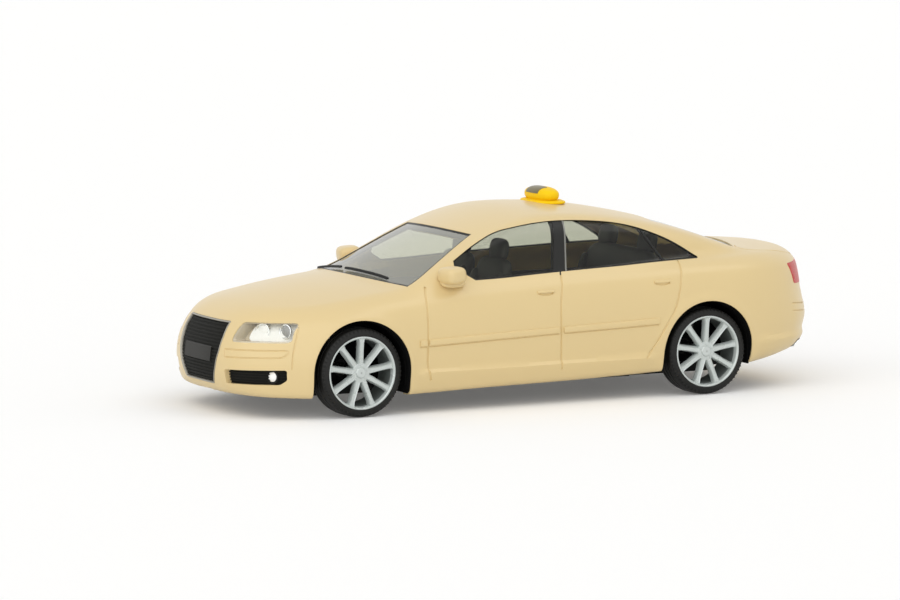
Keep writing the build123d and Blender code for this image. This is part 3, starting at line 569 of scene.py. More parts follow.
# Door cuts, creases and strips seen from the side, (along, up)
FRONT_DOOR_CUT = [(-11.75, 10.75), (-12.0, 10.2), (-12.17, 9.4), (-12.25, 8.0), (-12.3, 6.0), (-12.27, 3.9),
                  (-12.0, 2.9)]
MIDDLE_DOOR_CUT = [(1.25, 11.5), (0.95, 10.2), (0.7, 9.0), (0.62, 7.0), (0.66, 5.0), (0.75, 3.1)]
REAR_DOOR_CUT = [(13.15, 11.85), (12.85, 10.8), (12.5, 9.4), (12.0, 7.9), (11.0, 6.3), (10.0, 4.72),
                 (9.2, 3.6)]
WING_CREASE = [(-23.75, 7.9), (-24.2, 6.7), (-24.5, 5.6), (-24.62, 4.4)]
FRONT_STRIP = [(-13.05, 6.1), (-6.0, 6.34), (0.42, 6.55)]
REAR_STRIP = [(0.88, 6.56), (5.5, 6.68), (10.35, 6.83)]
REAR_BUMPER_CUTS = [[(24.85, 7.5), (25.8, 7.4), (26.9, 7.28)], [(24.85, 6.85), (25.8, 6.75), (26.9, 6.63)]]
# What is raised on the side, and the hollow under each door handle
STRIP_WIDTH, STRIP_HEIGHT, STRIP_LINE_DROP = 0.56, 0.14, 0.33
HANDLES = [(-0.7, 9.9), (10.85, 10.22)]
HANDLE_HALF, HANDLE_RISE, HANDLE_WIDTH, HANDLE_HEIGHT = 0.8, 0.03, 0.24, 0.13
HANDLE_DISH = [(-0.7, -0.12), (-0.3, -0.23), (0.3, -0.23), (0.7, -0.12)]
# Shut lines on the tail, (across, up), and the boot lid's left side seen from above, (across, along)
BOOT_CUT = [(-4.0, 11.2), (-4.25, 9.6), (-4.2, 8.3), (-3.5, 7.75), (3.5, 7.75), (4.2, 8.3), (4.25, 9.6),
            (4.0, 11.2)]
BUMPER_CUTS = [[(-7.4, 7.28), (7.4, 7.28)], [(-7.8, 6.63), (-3.4, 6.6)], [(3.4, 6.6), (7.8, 6.63)]]
BOOT_SIDE_CUT = [(6.1, 20.7), (6.85, 20.45), (7.15, 20.9), (7.2, 22.3), (6.95, 24.3), (6.4, 25.7),
                 (5.5, 26.7), (4.5, 27.3)]

# Wheel wells and the opening of the floor
WELL = 4.5
ARCH_INNER_X, ARCH_OUTER_X = 6.3, 13
BELLY_Z, BELLY_LEVEL = 4.4, -1.5

# Finishes: how far a grain's bump reaches, and how rough a clear coat is
BUMP_DISTANCE = 0.05 * METRES
COAT_ROUGH = 0.12
# Ripple of clear plastic, and the tone of its haze
RIPPLE_SCALE, RIPPLE_DEPTH = 260, 0.06
HAZE_TONE = (0.78, 0.78, 0.66, 1)


def shader_of(name, colour, rough, coat, metal, gleam):
    """A new material and its main shader, with the plain values set on its own sockets."""
    material = bpy.data.materials.new(name)
    material.use_nodes = True
    shader = material.node_tree.nodes["Principled BSDF"]
    shader.inputs["Base Color"].default_value = (*colour, 1)
    shader.inputs["Roughness"].default_value = rough
    shader.inputs["Metallic"].default_value = metal
    shader.inputs["Coat Weight"].default_value = coat
    shader.inputs["Coat Roughness"].default_value = COAT_ROUGH
    shader.inputs["Specular IOR Level"].default_value = gleam
    return material, shader


def surface(name, colour, rough, grain=900.0, depth=0.12, spread=0.08, shade=0.06, coat=0.0, metal=0.0,
            gleam=0.5):
    """A material with a fine grain in its bump, its roughness and its tone, in object coordinates."""
    material, shader = shader_of(name, colour, rough, coat, metal, gleam)
    nodes, links = material.node_tree.nodes, material.node_tree.links
    place = nodes.new("ShaderNodeTexCoord")
    fine = nodes.new("ShaderNodeTexNoise")
    fine.inputs["Scale"].default_value = grain
    fine.inputs["Detail"].default_value = 4
    broad = nodes.new("ShaderNodeTexNoise")
    broad.inputs["Scale"].default_value = grain / 6
    broad.inputs["Detail"].default_value = 3
    for noise in (fine, broad):
        links.new(place.outputs["Object"], noise.inputs["Vector"])
    bump = nodes.new("ShaderNodeBump")
    bump.inputs["Strength"].default_value = depth
    bump.inputs["Distance"].default_value = BUMP_DISTANCE
    links.new(fine.outputs["Fac"], bump.inputs["Height"])
    links.new(bump.outputs["Normal"], shader.inputs["Normal"])
    gloss = nodes.new("ShaderNodeMapRange")
    gloss.inputs["From Min"].default_value, gloss.inputs["From Max"].default_value = 0, 1
    gloss.inputs["To Min"].default_value = max(0.02, rough - 2 * spread)
    gloss.inputs["To Max"].default_value = min(1, rough + 2 * spread)
    links.new(broad.outputs["Fac"], gloss.inputs["Value"])
    links.new(gloss.outputs["Result"], shader.inputs["Roughness"])
    tone = nodes.new("ShaderNodeMix")
    tone.data_type = "RGBA"
    tone.inputs[6].default_value = (*[c * (1 - shade) for c in colour], 1)
    tone.inputs[7].default_value = (*[min(1, c * (1 + shade)) for c in colour], 1)
    links.new(broad.outputs["Fac"], tone.inputs[0])
    links.new(tone.outputs[2], shader.inputs["Base Color"])
    return material


def clear(name, tint, gloss_rough=0.06, haze=0.0, gloss=1.4):
    """Clear tinted plastic: see-through by its tint, with reflections that grow at flat angles."""
    material = bpy.data.materials.new(name)
    material.use_nodes = True
    nodes, links = material.node_tree.nodes, material.node_tree.links
    nodes.remove(nodes["Principled BSDF"])
    out = nodes["Material Output"]
    see = nodes.new("ShaderNodeBsdfTransparent")
    see.inputs["Color"].default_value = (*tint, 1)
    shine = nodes.new("ShaderNodeBsdfGlossy")
    shine.inputs["Roughness"].default_value = gloss_rough
    milk = nodes.new("ShaderNodeBsdfDiffuse")
    milk.inputs["Color"].default_value = HAZE_TONE
    hazy = nodes.new("ShaderNodeMixShader")
    hazy.inputs["Fac"].default_value = haze
    links.new(see.outputs["BSDF"], hazy.inputs[1])
    links.new(milk.outputs["BSDF"], hazy.inputs[2])
    edge = nodes.new("ShaderNodeFresnel")
    edge.inputs["IOR"].default_value = gloss
    place = nodes.new("ShaderNodeTexCoord")
    ripple = nodes.new("ShaderNodeTexNoise")
    ripple.inputs["Scale"].default_value = RIPPLE_SCALE
    bump = nodes.new("ShaderNodeBump")
    bump.inputs["Strength"].default_value = RIPPLE_DEPTH
    bump.inputs["Distance"].default_value = BUMP_DISTANCE
    links.new(place.outputs["Object"], ripple.inputs["Vector"])
    links.new(ripple.outputs["Fac"], bump.inputs["Height"])
    links.new(bump.outputs["Normal"], shine.inputs["Normal"])
    whole = nodes.new("ShaderNodeMixShader")
    links.new(edge.outputs["Fac"], whole.inputs["Fac"])
    links.new(hazy.outputs["Shader"], whole.inputs[1])
    links.new(shine.outputs["BSDF"], whole.inputs[2])
    leave = nodes.new("ShaderNodeBsdfTransparent")
    turn = nodes.new("ShaderNodeNewGeometry")
    sides = nodes.new("ShaderNodeMixShader")
    links.new(turn.outputs["Backfacing"], sides.inputs["Fac"])
    links.new(whole.outputs["Shader"], sides.inputs[1])
    links.new(leave.outputs["BSDF"], sides.inputs[2])
    links.new(sides.outputs["Shader"], out.inputs["Surface"])
    return material


# Finishes of the model's pieces
IVORY = surface("ivory_plastic", (0.715, 0.550, 0.272), 0.33, grain=700, depth=0.05, spread=0.02, shade=0.012,
                coat=0.15)
GLAZING = clear("window_glazing", (0.66, 0.67, 0.59))
SCREEN_GLAZING = clear("screen_glazing", (0.68, 0.69, 0.57), haze=0.26, gloss=1.9)
LENS = clear("lamp_cover", (0.98, 0.98, 0.96), haze=0.06)
# Grey of the strip beside each middle pillar: a painted highlight standing in for a reflection on the glass
PILLAR_HIGHLIGHT_GREY = surface("pillar_painted_highlight", (0.20, 0.20, 0.18), 0.15, grain=1400, depth=0.05)
SEAL = surface("window_seal", (0.007, 0.007, 0.006), 0.45, grain=1400, depth=0.1, gleam=0.35)
INTERIOR = surface("interior_plastic", (0.035, 0.036, 0.034), 0.5, grain=1100, depth=0.35)
BLACK = surface("black_plastic", (0.009, 0.009, 0.008), 0.6, grain=1200, depth=0.3, gleam=0.3)
# Extra-dark, nearly unreflecting black of the arch liners: their own black plastic, darkened further as
# painted shade deep in the wheel wells
ARCH_SHADE_BLACK = surface("arch_black_painted_shade", (0.005, 0.005, 0.005), 0.9, grain=1200, depth=0.3, gleam=0.08)
RUBBER = surface("tyre_rubber", (0.0062, 0.0062, 0.0052), 0.5, grain=1500, depth=0.5, shade=0.3, gleam=0.3)
SILVER = surface("wheel_silver", (0.56, 0.60, 0.58), 0.3, grain=1500, depth=0.12, metal=0.35)
# Darker copy of the wheel silver for the barrel deep behind the spokes: painted shade
SHADED_BARREL_SILVER = surface("rim_barrel_painted_shade", (0.20, 0.22, 0.21), 0.4, grain=1500, depth=0.15, metal=0.35)
TRIM = surface("silver_print", (0.34, 0.32, 0.27), 0.35, grain=1500, depth=0.15, metal=0.5)
HOUSING = surface("lamp_housing", (0.60, 0.52, 0.38), 0.25, grain=1000, depth=0.1, metal=0.2)
MIRROR_SILVER = surface("reflector_silver", (0.86, 0.88, 0.88), 0.18, grain=1000, depth=0.05, metal=0.8)
WHITE_GLASS = surface("lamp_white", (0.93, 0.93, 0.90), 0.2, grain=900, depth=0.1)
GREY_GLASS = surface("lamp_grey", (0.28, 0.28, 0.27), 0.2, grain=900, depth=0.1)
RED = surface("tail_red", (0.50, 0.028, 0.02), 0.3, grain=1500, depth=0.25, gleam=0.4)
YELLOW = surface("sign_yellow", (0.92, 0.60, 0.006), 0.45, grain=900, depth=0.08, shade=0.03, gleam=0.12)
SIGN_FACE = surface("sign_face", (0.15, 0.125, 0.05), 0.35, grain=900, depth=0.1)
PLATE = surface("plate_face", (0.017, 0.016, 0.013), 0.5, grain=900, depth=0.1, gleam=0.25)
GRILLE_BLACK = surface("grille_black", (0.010, 0.010, 0.008), 0.75, grain=1200, depth=0.3, gleam=0.2)
REAR_PLATE = surface("rear_plate_face", (0.62, 0.62, 0.60), 0.35, grain=900, depth=0.1)
STEEL = surface("axle_steel", (0.55, 0.55, 0.54), 0.28, grain=2000, depth=0.1, metal=1.0)


def groove(path, width, view="side", side=1, depth=0.16, closed=False):
    """A strip that cuts a rounded groove into the body along the path."""
    left = [(-width / 2, 0.4), (-width / 2, 0.02), (-0.38 * width, -0.2 * depth),
            (-0.2 * width, -0.85 * depth)]
    profile = left + [(0, -depth)] + [(-u, level) for u, level in reversed(left)]
    return band("groove", path, profile, view, side, closed)


def raised(path, width, height, view="side", side=1):
    """A low rounded strip on the body along the path."""
    half = width / 2
    profile = [(-half, -0.2), (-half, 0.3 * height), (-half * 0.8, 0.85 * height), (-half * 0.45, height),
               (half * 0.45, height), (half * 0.8, 0.85 * height), (half, 0.3 * height), (half, -0.2)]
    return band("raised", path, profile, view, side)


def raise_strips(shell):
    """Strips along the doors and the door handles, raised on both sides."""
    for side in SIDES:
        for path in (FRONT_STRIP, REAR_STRIP):
            combine(shell, raised(flowing(path, PATH_STEP), STRIP_WIDTH, STRIP_HEIGHT, side=side), "UNION")
        for y, z in HANDLES:
            top = z + HANDLE_RISE
            grip = flowing([(y - HANDLE_HALF, z), (y, top), (y + HANDLE_HALF, top)], FINE_STEP)
            combine(shell, raised(grip, HANDLE_WIDTH, HANDLE_HEIGHT, side=side), "UNION")


def hollow_out(shell):
    """The cabin's room, the floor's opening and the four wheel arches taken out of the body."""
    combine(shell, skin(-WALL, INNER_GRID))
    combine(shell, prism_mesh("belly", plan_loop(BELLY_LEVEL, BELLY_Z, -26.6, 24.2, 9.3), -1, BELLY_Z, "Z"))
    for axle_y in (FRONT_AXLE_Y, REAR_AXLE_Y):
        for low, high in ((-ARCH_OUTER_X, -ARCH_INNER_X), (ARCH_INNER_X, ARCH_OUTER_X)):
            combine(shell, prism_mesh("arch", arch_outline(axle_y, WELL, -1), low, high, "X"))


def cut_side(shell, side):
    """Window opening, door cuts, creases and the hollows under the handles of one side."""
    combine(shell, through(SIDE_WINDOW, "side", side))
    for path in (FRONT_DOOR_CUT, MIDDLE_DOOR_CUT, REAR_DOOR_CUT):
        combine(shell, groove(flowing(path, PATH_STEP), 0.24, side=side, depth=0.11))
    for path in (FRONT_STRIP, REAR_STRIP):
        line = [(y, z - STRIP_LINE_DROP) for y, z in flowing(path, PATH_STEP)]
        combine(shell, groove(line, 0.12, side=side, depth=0.05))
    for path in REAR_BUMPER_CUTS:
        combine(shell, groove(flowing(path, CUT_STEP), 0.14, side=side, depth=0.06))
    combine(shell, groove(flowing(WING_CREASE, CUT_STEP), 0.18, side=side, depth=0.09))
    for y, z in HANDLES:
        dish = flowing([(y + along, z + up) for along, up in HANDLE_DISH], FINE_STEP)
        combine(shell, groove(dish, 0.2, side=side, depth=0.09))


def cut_ends(shell):
    """Screens, lamp and grille openings, and the shut lines of the nose and the tail."""
    combine(shell, through(SCREEN, "top"))
    combine(shell, through(REAR_WINDOW, "top"))
    combine(shell, through(GRILLE, "front"))
    for outline in (HEADLIGHT, LOWER_GRILLE):
        for side in SIDES:
            combine(shell, through(on_side(outline, side), "front"))
    for side in SIDES:
        panel = spaced(on_side(BUMPER_PANEL, side), CUT_STEP, closed=True)
        combine(shell, groove(panel, 0.16, "front", depth=0.08, closed=True))
    for outline in (TAIL_LIGHT, EXHAUST_TRIM):
        for side in SIDES:
            combine(shell, through(on_side(outline, side), "rear"))
    combine(shell, groove(spaced(BOOT_CUT, CUT_STEP), 0.2, "rear", depth=0.1))
    for path in BUMPER_CUTS:
        combine(shell, groove(spaced(path, CUT_STEP), 0.16, "rear", depth=0.08))
    for side in SIDES:
        path = [(u * side, v) for u, v in flowing(BOOT_SIDE_CUT, FINE_STEP)]
        combine(shell, groove(path, 0.2, "top", depth=0.08))


def body_moulding():
    """The ivory body shell with its window, lamp and grille openings, cuts and strips."""
    shell = skin(0.0)
    raise_strips(shell)
    hollow_out(shell)
    for side in SIDES:
        cut_side(shell, side)
    cut_ends(shell)
    return dress(shell, IVORY, 30)


carried(body_moulding(), "body_plastic", "body_shell")

# Clear windows and their black surrounds: levels of the glass and of the print behind it
GLASS_OUTER, GLASS_INNER = -0.1, -0.45
PRINT_OUTER, PRINT_INNER = -0.07, -0.55
SIDE_SEAL_WIDTH, SCREEN_SEAL_WIDTH, SCREEN_FOOT_WIDTH, REAR_SEAL_WIDTH = 0.1, 0.2, 0.36, 0.16
BAR_PROFILE = [(-0.1, PRINT_OUTER), (0.1, PRINT_OUTER), (0.1, PRINT_INNER), (-0.1, PRINT_INNER)]
# Cross-section of the painted highlight strip beside each middle pillar
HIGHLIGHT_STREAK_PROFILE = [(-0.05, -0.03), (0.09, -0.03), (0.09, -0.2), (-0.05, -0.2)]


def seal_profile(width, turn=1):
    """Cross-section of a window's black edge, on the outline's inner side where turn is 1."""
    edge = [(0.04, -0.04), (0.04, -0.55), (-width, -0.55), (-width, -0.1), (-0.8 * width, -0.06)]
    return [(u * turn, v) for u, v in edge]


def side_seal(side):
    """Thin black edge round the one opening of a side."""
    outline = spaced(SIDE_WINDOW, PATH_STEP, closed=True)
    return band("seal", outline, seal_profile(SIDE_SEAL_WIDTH, -1), "side", side, closed=True)


def side_bars(printed, side):
    """The middle pillar's print and the thin bar of the quarter window."""
    bar = band("bar", flowing(QUARTER_BAR, PATH_STEP), BAR_PROFILE, "side", side)
    return [part_of(printed, "pillar", B_PILLAR, "side", side),
            combine(bar, through(SIDE_WINDOW, "side", side), "INTERSECT")]


def screen_seals():
    """Black edges of the windscreen, broader along its foot, and of the rear window's top."""
    screen_ring = spaced(SCREEN, PATH_STEP, closed=True)
    screen_foot = spaced(SCREEN[SCREEN_TOP_POINTS:], PATH_STEP)
    rear_top = spaced(REAR_WINDOW[1:SCREEN_TOP_POINTS - 1], PATH_STEP)
    return [
        band("seal", screen_ring, seal_profile(SCREEN_SEAL_WIDTH), "top", closed=True),
        band("edge", screen_foot, seal_profile(SCREEN_FOOT_WIDTH), "top"),
        band("edge", rear_top, seal_profile(REAR_SEAL_WIDTH, -1), "top"),
    ]


def painted_highlight_streak(side):
    """Grey strip beside the middle pillar: a painted highlight standing in for the light the glass catches
    there.
    """
    streak = band("streak", spaced(B_PILLAR[1:3], PATH_STEP), HIGHLIGHT_STREAK_PROFILE, "side", side)
    return combine(streak, through(SIDE_WINDOW, "side", side), "INTERSECT")


def windows():
    """All clear panes as one moulding, and their black surrounds as another."""
    clear_insert = layer(GLASS_OUTER, GLASS_INNER)
    print_layer = layer(PRINT_OUTER, PRINT_INNER)
    panes = [dress(part_of(clear_insert, "side_pane", SIDE_WINDOW, "side", side), GLAZING) for side in SIDES]
    for outline in (SCREEN, REAR_WINDOW):
        panes.append(dress(part_of(clear_insert, "screen", outline, "top"), SCREEN_GLAZING))
    # Grey strips of painted highlight beside the middle pillars, joined in with the panes
    panes += [dress(painted_highlight_streak(side), PILLAR_HIGHLIGHT_GREY) for side in SIDES]
    seals = [side_seal(side) for side in SIDES]
    for side in SIDES:
        seals += side_bars(print_layer, side)
    seals += screen_seals()
    carried(joined("windows", panes), "clear_glazing", "glazing")
    carried(joined("window_surrounds", [dress(seal, SEAL) for seal in seals]), "black_plastic")
    for used in (clear_insert, print_layer):
        bpy.data.objects.remove(used)


windows()

# Grille: silver frame, black field with slats. Plates are bare.
FRAME_PROFILE = [(0.02, 0.03), (0.02, -0.6), (0.17, -0.6), (0.17, -0.06), (0.13, 0.02), (0.07, 0.06)]
SLAT_PROFILE = [(-0.07, -0.13), (0.07, -0.13), (0.1, -0.4), (-0.1, -0.4)]
LOW_SLAT_PROFILE = [(-0.05, -0.4), (0.05, -0.4), (0.07, -0.65), (-0.07, -0.65)]
PLATE_HALF_WIDTH, PLATE_HALF_HEIGHT, PLATE_BEVEL = 2.6, 0.65, 0.08
FRONT_PLATE_Z, REAR_PLATE_Z = 5.22, 8.76


def slats(outline, heights, start, end, profile):
    """Bars across an opening of the nose, one at each height, kept inside its outline."""
    bars = []
    for z in heights:
        bar = band("bar", spaced([(start, z), (end, z)], CUT_STEP), profile, "front")
        bars.append(combine(bar, through(outline, "front"), "INTERSECT"))
    return bars


def grille():
    """Silver frame round the grille, and its black field with cross slats."""
    ring = spaced(GRILLE, RING_STEP, closed=True)
    frame_ring = band("frame", ring, FRAME_PROFILE, "front", closed=True)
    carried(dress(frame_ring, TRIM), "silver_trim", "grille_frame")
    field = part_of(field_layer, "field", GRILLE, "front")
    pieces = [field] + slats(GRILLE, np.arange(3.0, 8.1, 0.28), -3.6, 3.6, SLAT_PROFILE)
    whole = joined("grille_slats", [dress(piece, GRILLE_BLACK) for piece in pieces])
    carried(whole, "black_plastic", "grille")


def plate_piece(name, z, low, high, view):
    """Blank plate with a small bevel round its face, between two levels of the body's surface."""
    h, bevel = PLATE_HALF_HEIGHT, PLATE_BEVEL
    profile = [(-h, low), (-h, high - bevel), (-h + bevel, high), (h - bevel, high), (h, high - bevel),
               (h, low)]
    path = spaced([(-PLATE_HALF_WIDTH, z), (PLATE_HALF_WIDTH, z)], CUT_STEP)
    return band(name, path, profile, view)


field_layer = layer(-0.2, -0.6)
grille()
front_plate = plate_piece("front_plate", FRONT_PLATE_Z, -0.4, 0.0, "front")
carried(dress(front_plate, PLATE), "plate", "front_plate")
rear_plate = plate_piece("rear_plate", REAR_PLATE_Z, -0.05, 0.26, "rear")
carried(dress(rear_plate, REAR_PLATE), "plate", "rear_plate")

# Lamps: layers of the nose's and the tail's skin in which their pieces lie
bowl_layer = layer(-1.15, -1.35)
reflector_layer = layer(-0.75, -0.95)
cover_layer = layer(-0.02, -0.3)
grid_layer = layer(-0.5, -0.75)
red_layer = layer(0.02, -0.45, FINE_GRID)
# Headlights: silver bowls with a white and a grey lamp behind a clear cover
LAMP_AXIS = (0.45, -0.87, 0.1)
WHITE_LAMP_AT, WHITE_LAMP_RADIUS = (6.75, -25.95, 7.38), 0.76
GREY_LAMP_AT, GREY_LAMP_RADIUS = (8.42, -24.6, 7.5), 0.62
REFLECTOR = rounded_corners([(5.85, 8.12), (6.05, 6.62), (9.1, 6.68), (9.0, 8.2)], 0.4)
BOWL_RIM_PROFILE = [(0.0, -0.08), (0.0, -1.3), (0.09, -1.3), (0.09, -0.08)]
BULB_SHARE, BULB_HALF_DEPTH, BULB_BACK, BULB_TURN = 0.82, 0.22, 0.12, 27


def lamp_cup(radius):
    """Cross-section of a round reflector, from its rim down to its middle."""
    return [(-0.1, radius), (0.1, radius), (0.12, radius * 0.93), (0.08, radius * 0.86),
            (-0.45, radius * 0.5), (-0.5, 0.02), (-0.6, 0.02), (-0.5, radius * 0.6)]


def lamp(centre, radius, glass, side):
    """A round reflector and the domed glass in it."""
    x, y, z = centre
    axis = (LAMP_AXIS[0] * side, *LAMP_AXIS[1:])
    cup = dress(turned("cup", lamp_cup(radius), (x * side, y, z), axis, 40), MIRROR_SILVER)
    size = (radius * BULB_SHARE, BULB_HALF_DEPTH, radius * BULB_SHARE)
    lean = (0, 0, BULB_TURN * side)
    bulb = pebble("bulb", (x * side, y + BULB_BACK, z), size, 2.0, lean=lean, rings=16, spokes=28)
    return [cup, dress(bulb, glass)]


def headlight(side):
    """Lamp housing with a white lamp and a grey one behind a clear cover."""
    outline = on_side(HEADLIGHT, side)
    rim = band("rim", spaced(outline, RING_STEP, closed=True), BOWL_RIM_PROFILE, "front", closed=True)
    reflector = part_of(reflector_layer, "reflector", on_side(REFLECTOR, side), "front")
    pieces = [dress(part_of(bowl_layer, "bowl", outline, "front"), HOUSING), dress(reflector, WHITE_GLASS),
              dress(rim, HOUSING)]
    pieces += lamp(WHITE_LAMP_AT, WHITE_LAMP_RADIUS, WHITE_GLASS, side)
    pieces += lamp(GREY_LAMP_AT, GREY_LAMP_RADIUS, GREY_GLASS, side)
    carried(joined("headlight_bowl", pieces), "lamp_lens")
    cover = part_of(cover_layer, "headlight_cover", outline, "front")
    carried(dress(cover, LENS), "lamp_lens", f"headlight_{SIDES[side]}")


def lower_grille(side):
    """Black slats in the opening below a headlight."""
    outline = on_side(LOWER_GRILLE, side)
    grid = part_of(grid_layer, "grid", outline, "front")
    bars = slats(outline, np.arange(2.95, 4.3, 0.24), 4.4 * side, 9.5 * side, LOW_SLAT_PROFILE)
    whole = joined("lower_grille_slats", [dress(piece, GRILLE_BLACK) for piece in [grid] + bars])
    carried(whole, "black_plastic", f"lower_grille_{SIDES[side]}")


def fog_lamp(side):
    """Round white lamp in a black ring, seated in the lower grille."""
    x, y, z = FOG_LAMP_AT
    r = FOG_LAMP_RADIUS
    profile = [(-0.3, 0.3), (-0.3, r + 0.1), (0.12, r + 0.1), (0.12, r - 0.04), (0.0, 0.3)]
    ring = turned("ring", profile, (x * side, y + 0.15, z), (0.5 * side, -0.86, 0), 40)
    lean = (0, 0, 30 * side)
    glass = pebble("glass", (x * side, y + 0.2, z), (r, 0.3, r), 2.0, lean=lean, rings=16, spokes=32)
    whole = joined("fog_lamp", [dress(ring, BLACK), dress(glass, WHITE_GLASS)])
    carried(whole, "lamp_lens", f"fog_lamp_{SIDES[side]}")


def tail_light(side):
    """Smooth red lens, flush with the tail."""
    piece = part_of(red_layer, "tail_light_lens", on_side(TAIL_LIGHT, side), "rear")
    carried(dress(piece, RED, 50), "tail_lens", f"tail_light_{SIDES[side]}")


PIPE_PROFILE = [(-0.6, 0.2), (-0.6, 0.32), (0.3, 0.32), (0.32, 0.29), (0.3, 0.24), (-0.3, 0.2)]
PIPE_PLACES, PIPE_Z, PIPE_LEVEL = (6.2, 7.0), 3.62, -0.4
EXHAUST_RIM_PROFILE = [(0.0, 0.03), (0.0, -0.6), (0.12, -0.6), (0.12, 0.03)]


def tailpipe(x):
    """The end of a silver pipe, just inside the tail's surface."""
    y = seen("rear", np.array([[x, PIPE_Z]]), PIPE_LEVEL)[0, 1]
    return dress(turned("pipe", PIPE_PROFILE, (x, y, PIPE_Z), (0, 1, 0), 32), SILVER)


def exhaust_trim(side):
    """Black recess in the lower rear corner with the ends of two tailpipes in it."""
    outline = on_side(EXHAUST_TRIM, side)
    recess = dress(part_of(grid_layer, "recess", outline, "rear"), BLACK)
    rim = band("rim", spaced(outline, RING_STEP, closed=True), EXHAUST_RIM_PROFILE, "rear", closed=True)
    pipes = [tailpipe(x * side) for x in PIPE_PLACES]
    whole = joined("exhaust_outlet", [recess, dress(rim, BLACK)] + pipes)
    carried(whole, "black_plastic", f"exhaust_trim_{SIDES[side]}")


for side in SIDES:
    headlight(side)
    lower_grille(side)
    fog_lamp(side)
    tail_light(side)
    exhaust_trim(side)
for used in (field_layer, bowl_layer, reflector_layer, cover_layer, grid_layer, red_layer):
    bpy.data.objects.remove(used)

# Wheels: sizes of the rim, the tyre and their repeated parts. A profile's points are (along, radius).
RIM_RADIUS = 3.16
WHEEL_FACE = 10.6
TYRE_WIDTH = 2.6
SPOKES = 9
BOLTS, BOLT_CIRCLE = 5, 0.63
TREAD_BLOCKS = 60
# Each station of a spoke: its radius, half width and the depth of its face
SPOKE_STATIONS = [(0.5, 0.27, -0.34), (0.95, 0.27, -0.26), (1.8, 0.245, -0.17), (2.6, 0.25, -0.1),
                  (2.95, 0.33, -0.08)]
FLANGE_PROFILE = [(-0.5, 3.1), (-0.1, RIM_RADIUS), (0.0, RIM_RADIUS - 0.03), (0.02, RIM_RADIUS - 0.12),
                  (-0.04, 2.98), (-0.12, 2.93), (-0.5, 2.88)]
BARREL_PROFILE = [(-2.5, 3.08), (-0.45, 3.08), (-0.45, 2.87), (-1.2, 2.8), (-2.5, 2.76)]
HUB_PROFILE = [(-1.6, 0.05), (-1.6, 0.8), (-0.5, 0.86), (-0.36, 0.84), (-0.32, 0.76), (-0.33, 0.5),
               (-0.26, 0.46), (-0.2, 0.4), (-0.19, 0.05)]
BOLT_PROFILE = [(-0.4, 0.01), (-0.4, 0.07), (-0.28, 0.065), (-0.26, 0.01)]
AXLE_PROFILE = [(-9.75, 0.02), (-9.75, 0.42), (-9.65, 0.5), (9.65, 0.5), (9.75, 0.42), (9.75, 0.02)]


def round_tree():
    """Geometry nodes that spread copies of a unit round the X axis and join them to what is given."""
    group = bpy.data.node_groups.new("repeated_round", "GeometryNodeTree")
    sockets = {"Geometry": "NodeSocketGeometry", "Unit": "NodeSocketObject", "Count": "NodeSocketInt",
               "Material": "NodeSocketMaterial"}
    for name, kind in sockets.items():
        group.interface.new_socket(name, in_out="INPUT", socket_type=kind)
    group.interface.new_socket("Geometry", in_out="OUTPUT", socket_type="NodeSocketGeometry")
    nodes, links = group.nodes, group.links
    given, made = nodes.new("NodeGroupInput"), nodes.new("NodeGroupOutput")
    places = nodes.new("GeometryNodePoints")
    links.new(given.outputs["Count"], places.inputs["Count"])
    unit_mesh = nodes.new("GeometryNodeObjectInfo")
    links.new(given.outputs["Unit"], unit_mesh.inputs["Object"])
    index = nodes.new("GeometryNodeInputIndex")
    share = nodes.new("ShaderNodeMath")
    share.operation = "DIVIDE"
    links.new(index.outputs["Index"], share.inputs[0])
    links.new(given.outputs["Count"], share.inputs[1])
    angle = nodes.new("ShaderNodeMath")
    angle.operation = "MULTIPLY"
    angle.inputs[1].default_value = 2 * math.pi
    links.new(share.outputs["Value"], angle.inputs[0])
    spin = nodes.new("ShaderNodeCombineXYZ")
    links.new(angle.outputs["Value"], spin.inputs["X"])
    copies = nodes.new("GeometryNodeInstanceOnPoints")
    links.new(places.outputs["Points"], copies.inputs["Points"])
    links.new(unit_mesh.outputs["Geometry"], copies.inputs["Instance"])
    links.new(spin.outputs["Vector"], copies.inputs["Rotation"])
    real = nodes.new("GeometryNodeRealizeInstances")
    links.new(copies.outputs["Instances"], real.inputs["Geometry"])
    painted = nodes.new("GeometryNodeSetMaterial")
    links.new(real.outputs["Geometry"], painted.inputs["Geometry"])
    links.new(given.outputs["Material"], painted.inputs["Material"])
    both = nodes.new("GeometryNodeJoinGeometry")
    links.new(painted.outputs["Geometry"], both.inputs["Geometry"])
    links.new(given.outputs["Geometry"], both.inputs["Geometry"])
    links.new(both.outputs["Geometry"], made.inputs["Geometry"])
    return group


def repeated_round(piece, unit, count, material):
    """The piece with copies of the unit spread round the X axis, as a plain mesh."""
    step = piece.modifiers.new("round", "NODES")
    step.node_group = round_tree()
    for socket in step.node_group.interface.items_tree:
        if socket.in_out == "INPUT" and socket.name != "Geometry":
            step[socket.identifier] = {"Unit": unit, "Count": count, "Material": material}[socket.name]
    bpy.context.view_layer.update()
    shaped = bpy.data.meshes.new_from_object(piece.evaluated_get(bpy.context.evaluated_depsgraph_get()))
    piece.modifiers.clear()
    piece.data = shaped
    bpy.data.objects.remove(unit)
    return piece


def moved(piece, offset, flip=False):
    """The piece's mesh moved by the offset, and first turned to the other side where flip is set."""
    if flip:
        piece.data.transform(Matrix.Rotation(math.pi, 4, "Z"))
    piece.data.transform(Matrix.Translation(Vector(offset) * METRES))
    return piece


def wheel_spoke():
    """One spoke from the hub up the Z axis, its face towards +X, bevelled along both edges."""
    rows = []
    for r, half, face in SPOKE_STATIONS:
        edge = [(face - 0.5, half + 0.03), (face - 0.12, half), (face, half - 0.07),
                (face - 0.07, half - 0.13)]
        rows.append([(x, y, r) for x, y in edge] + [(x, -y, r) for x, y in reversed(edge)])
    return lofted("spoke", rows)


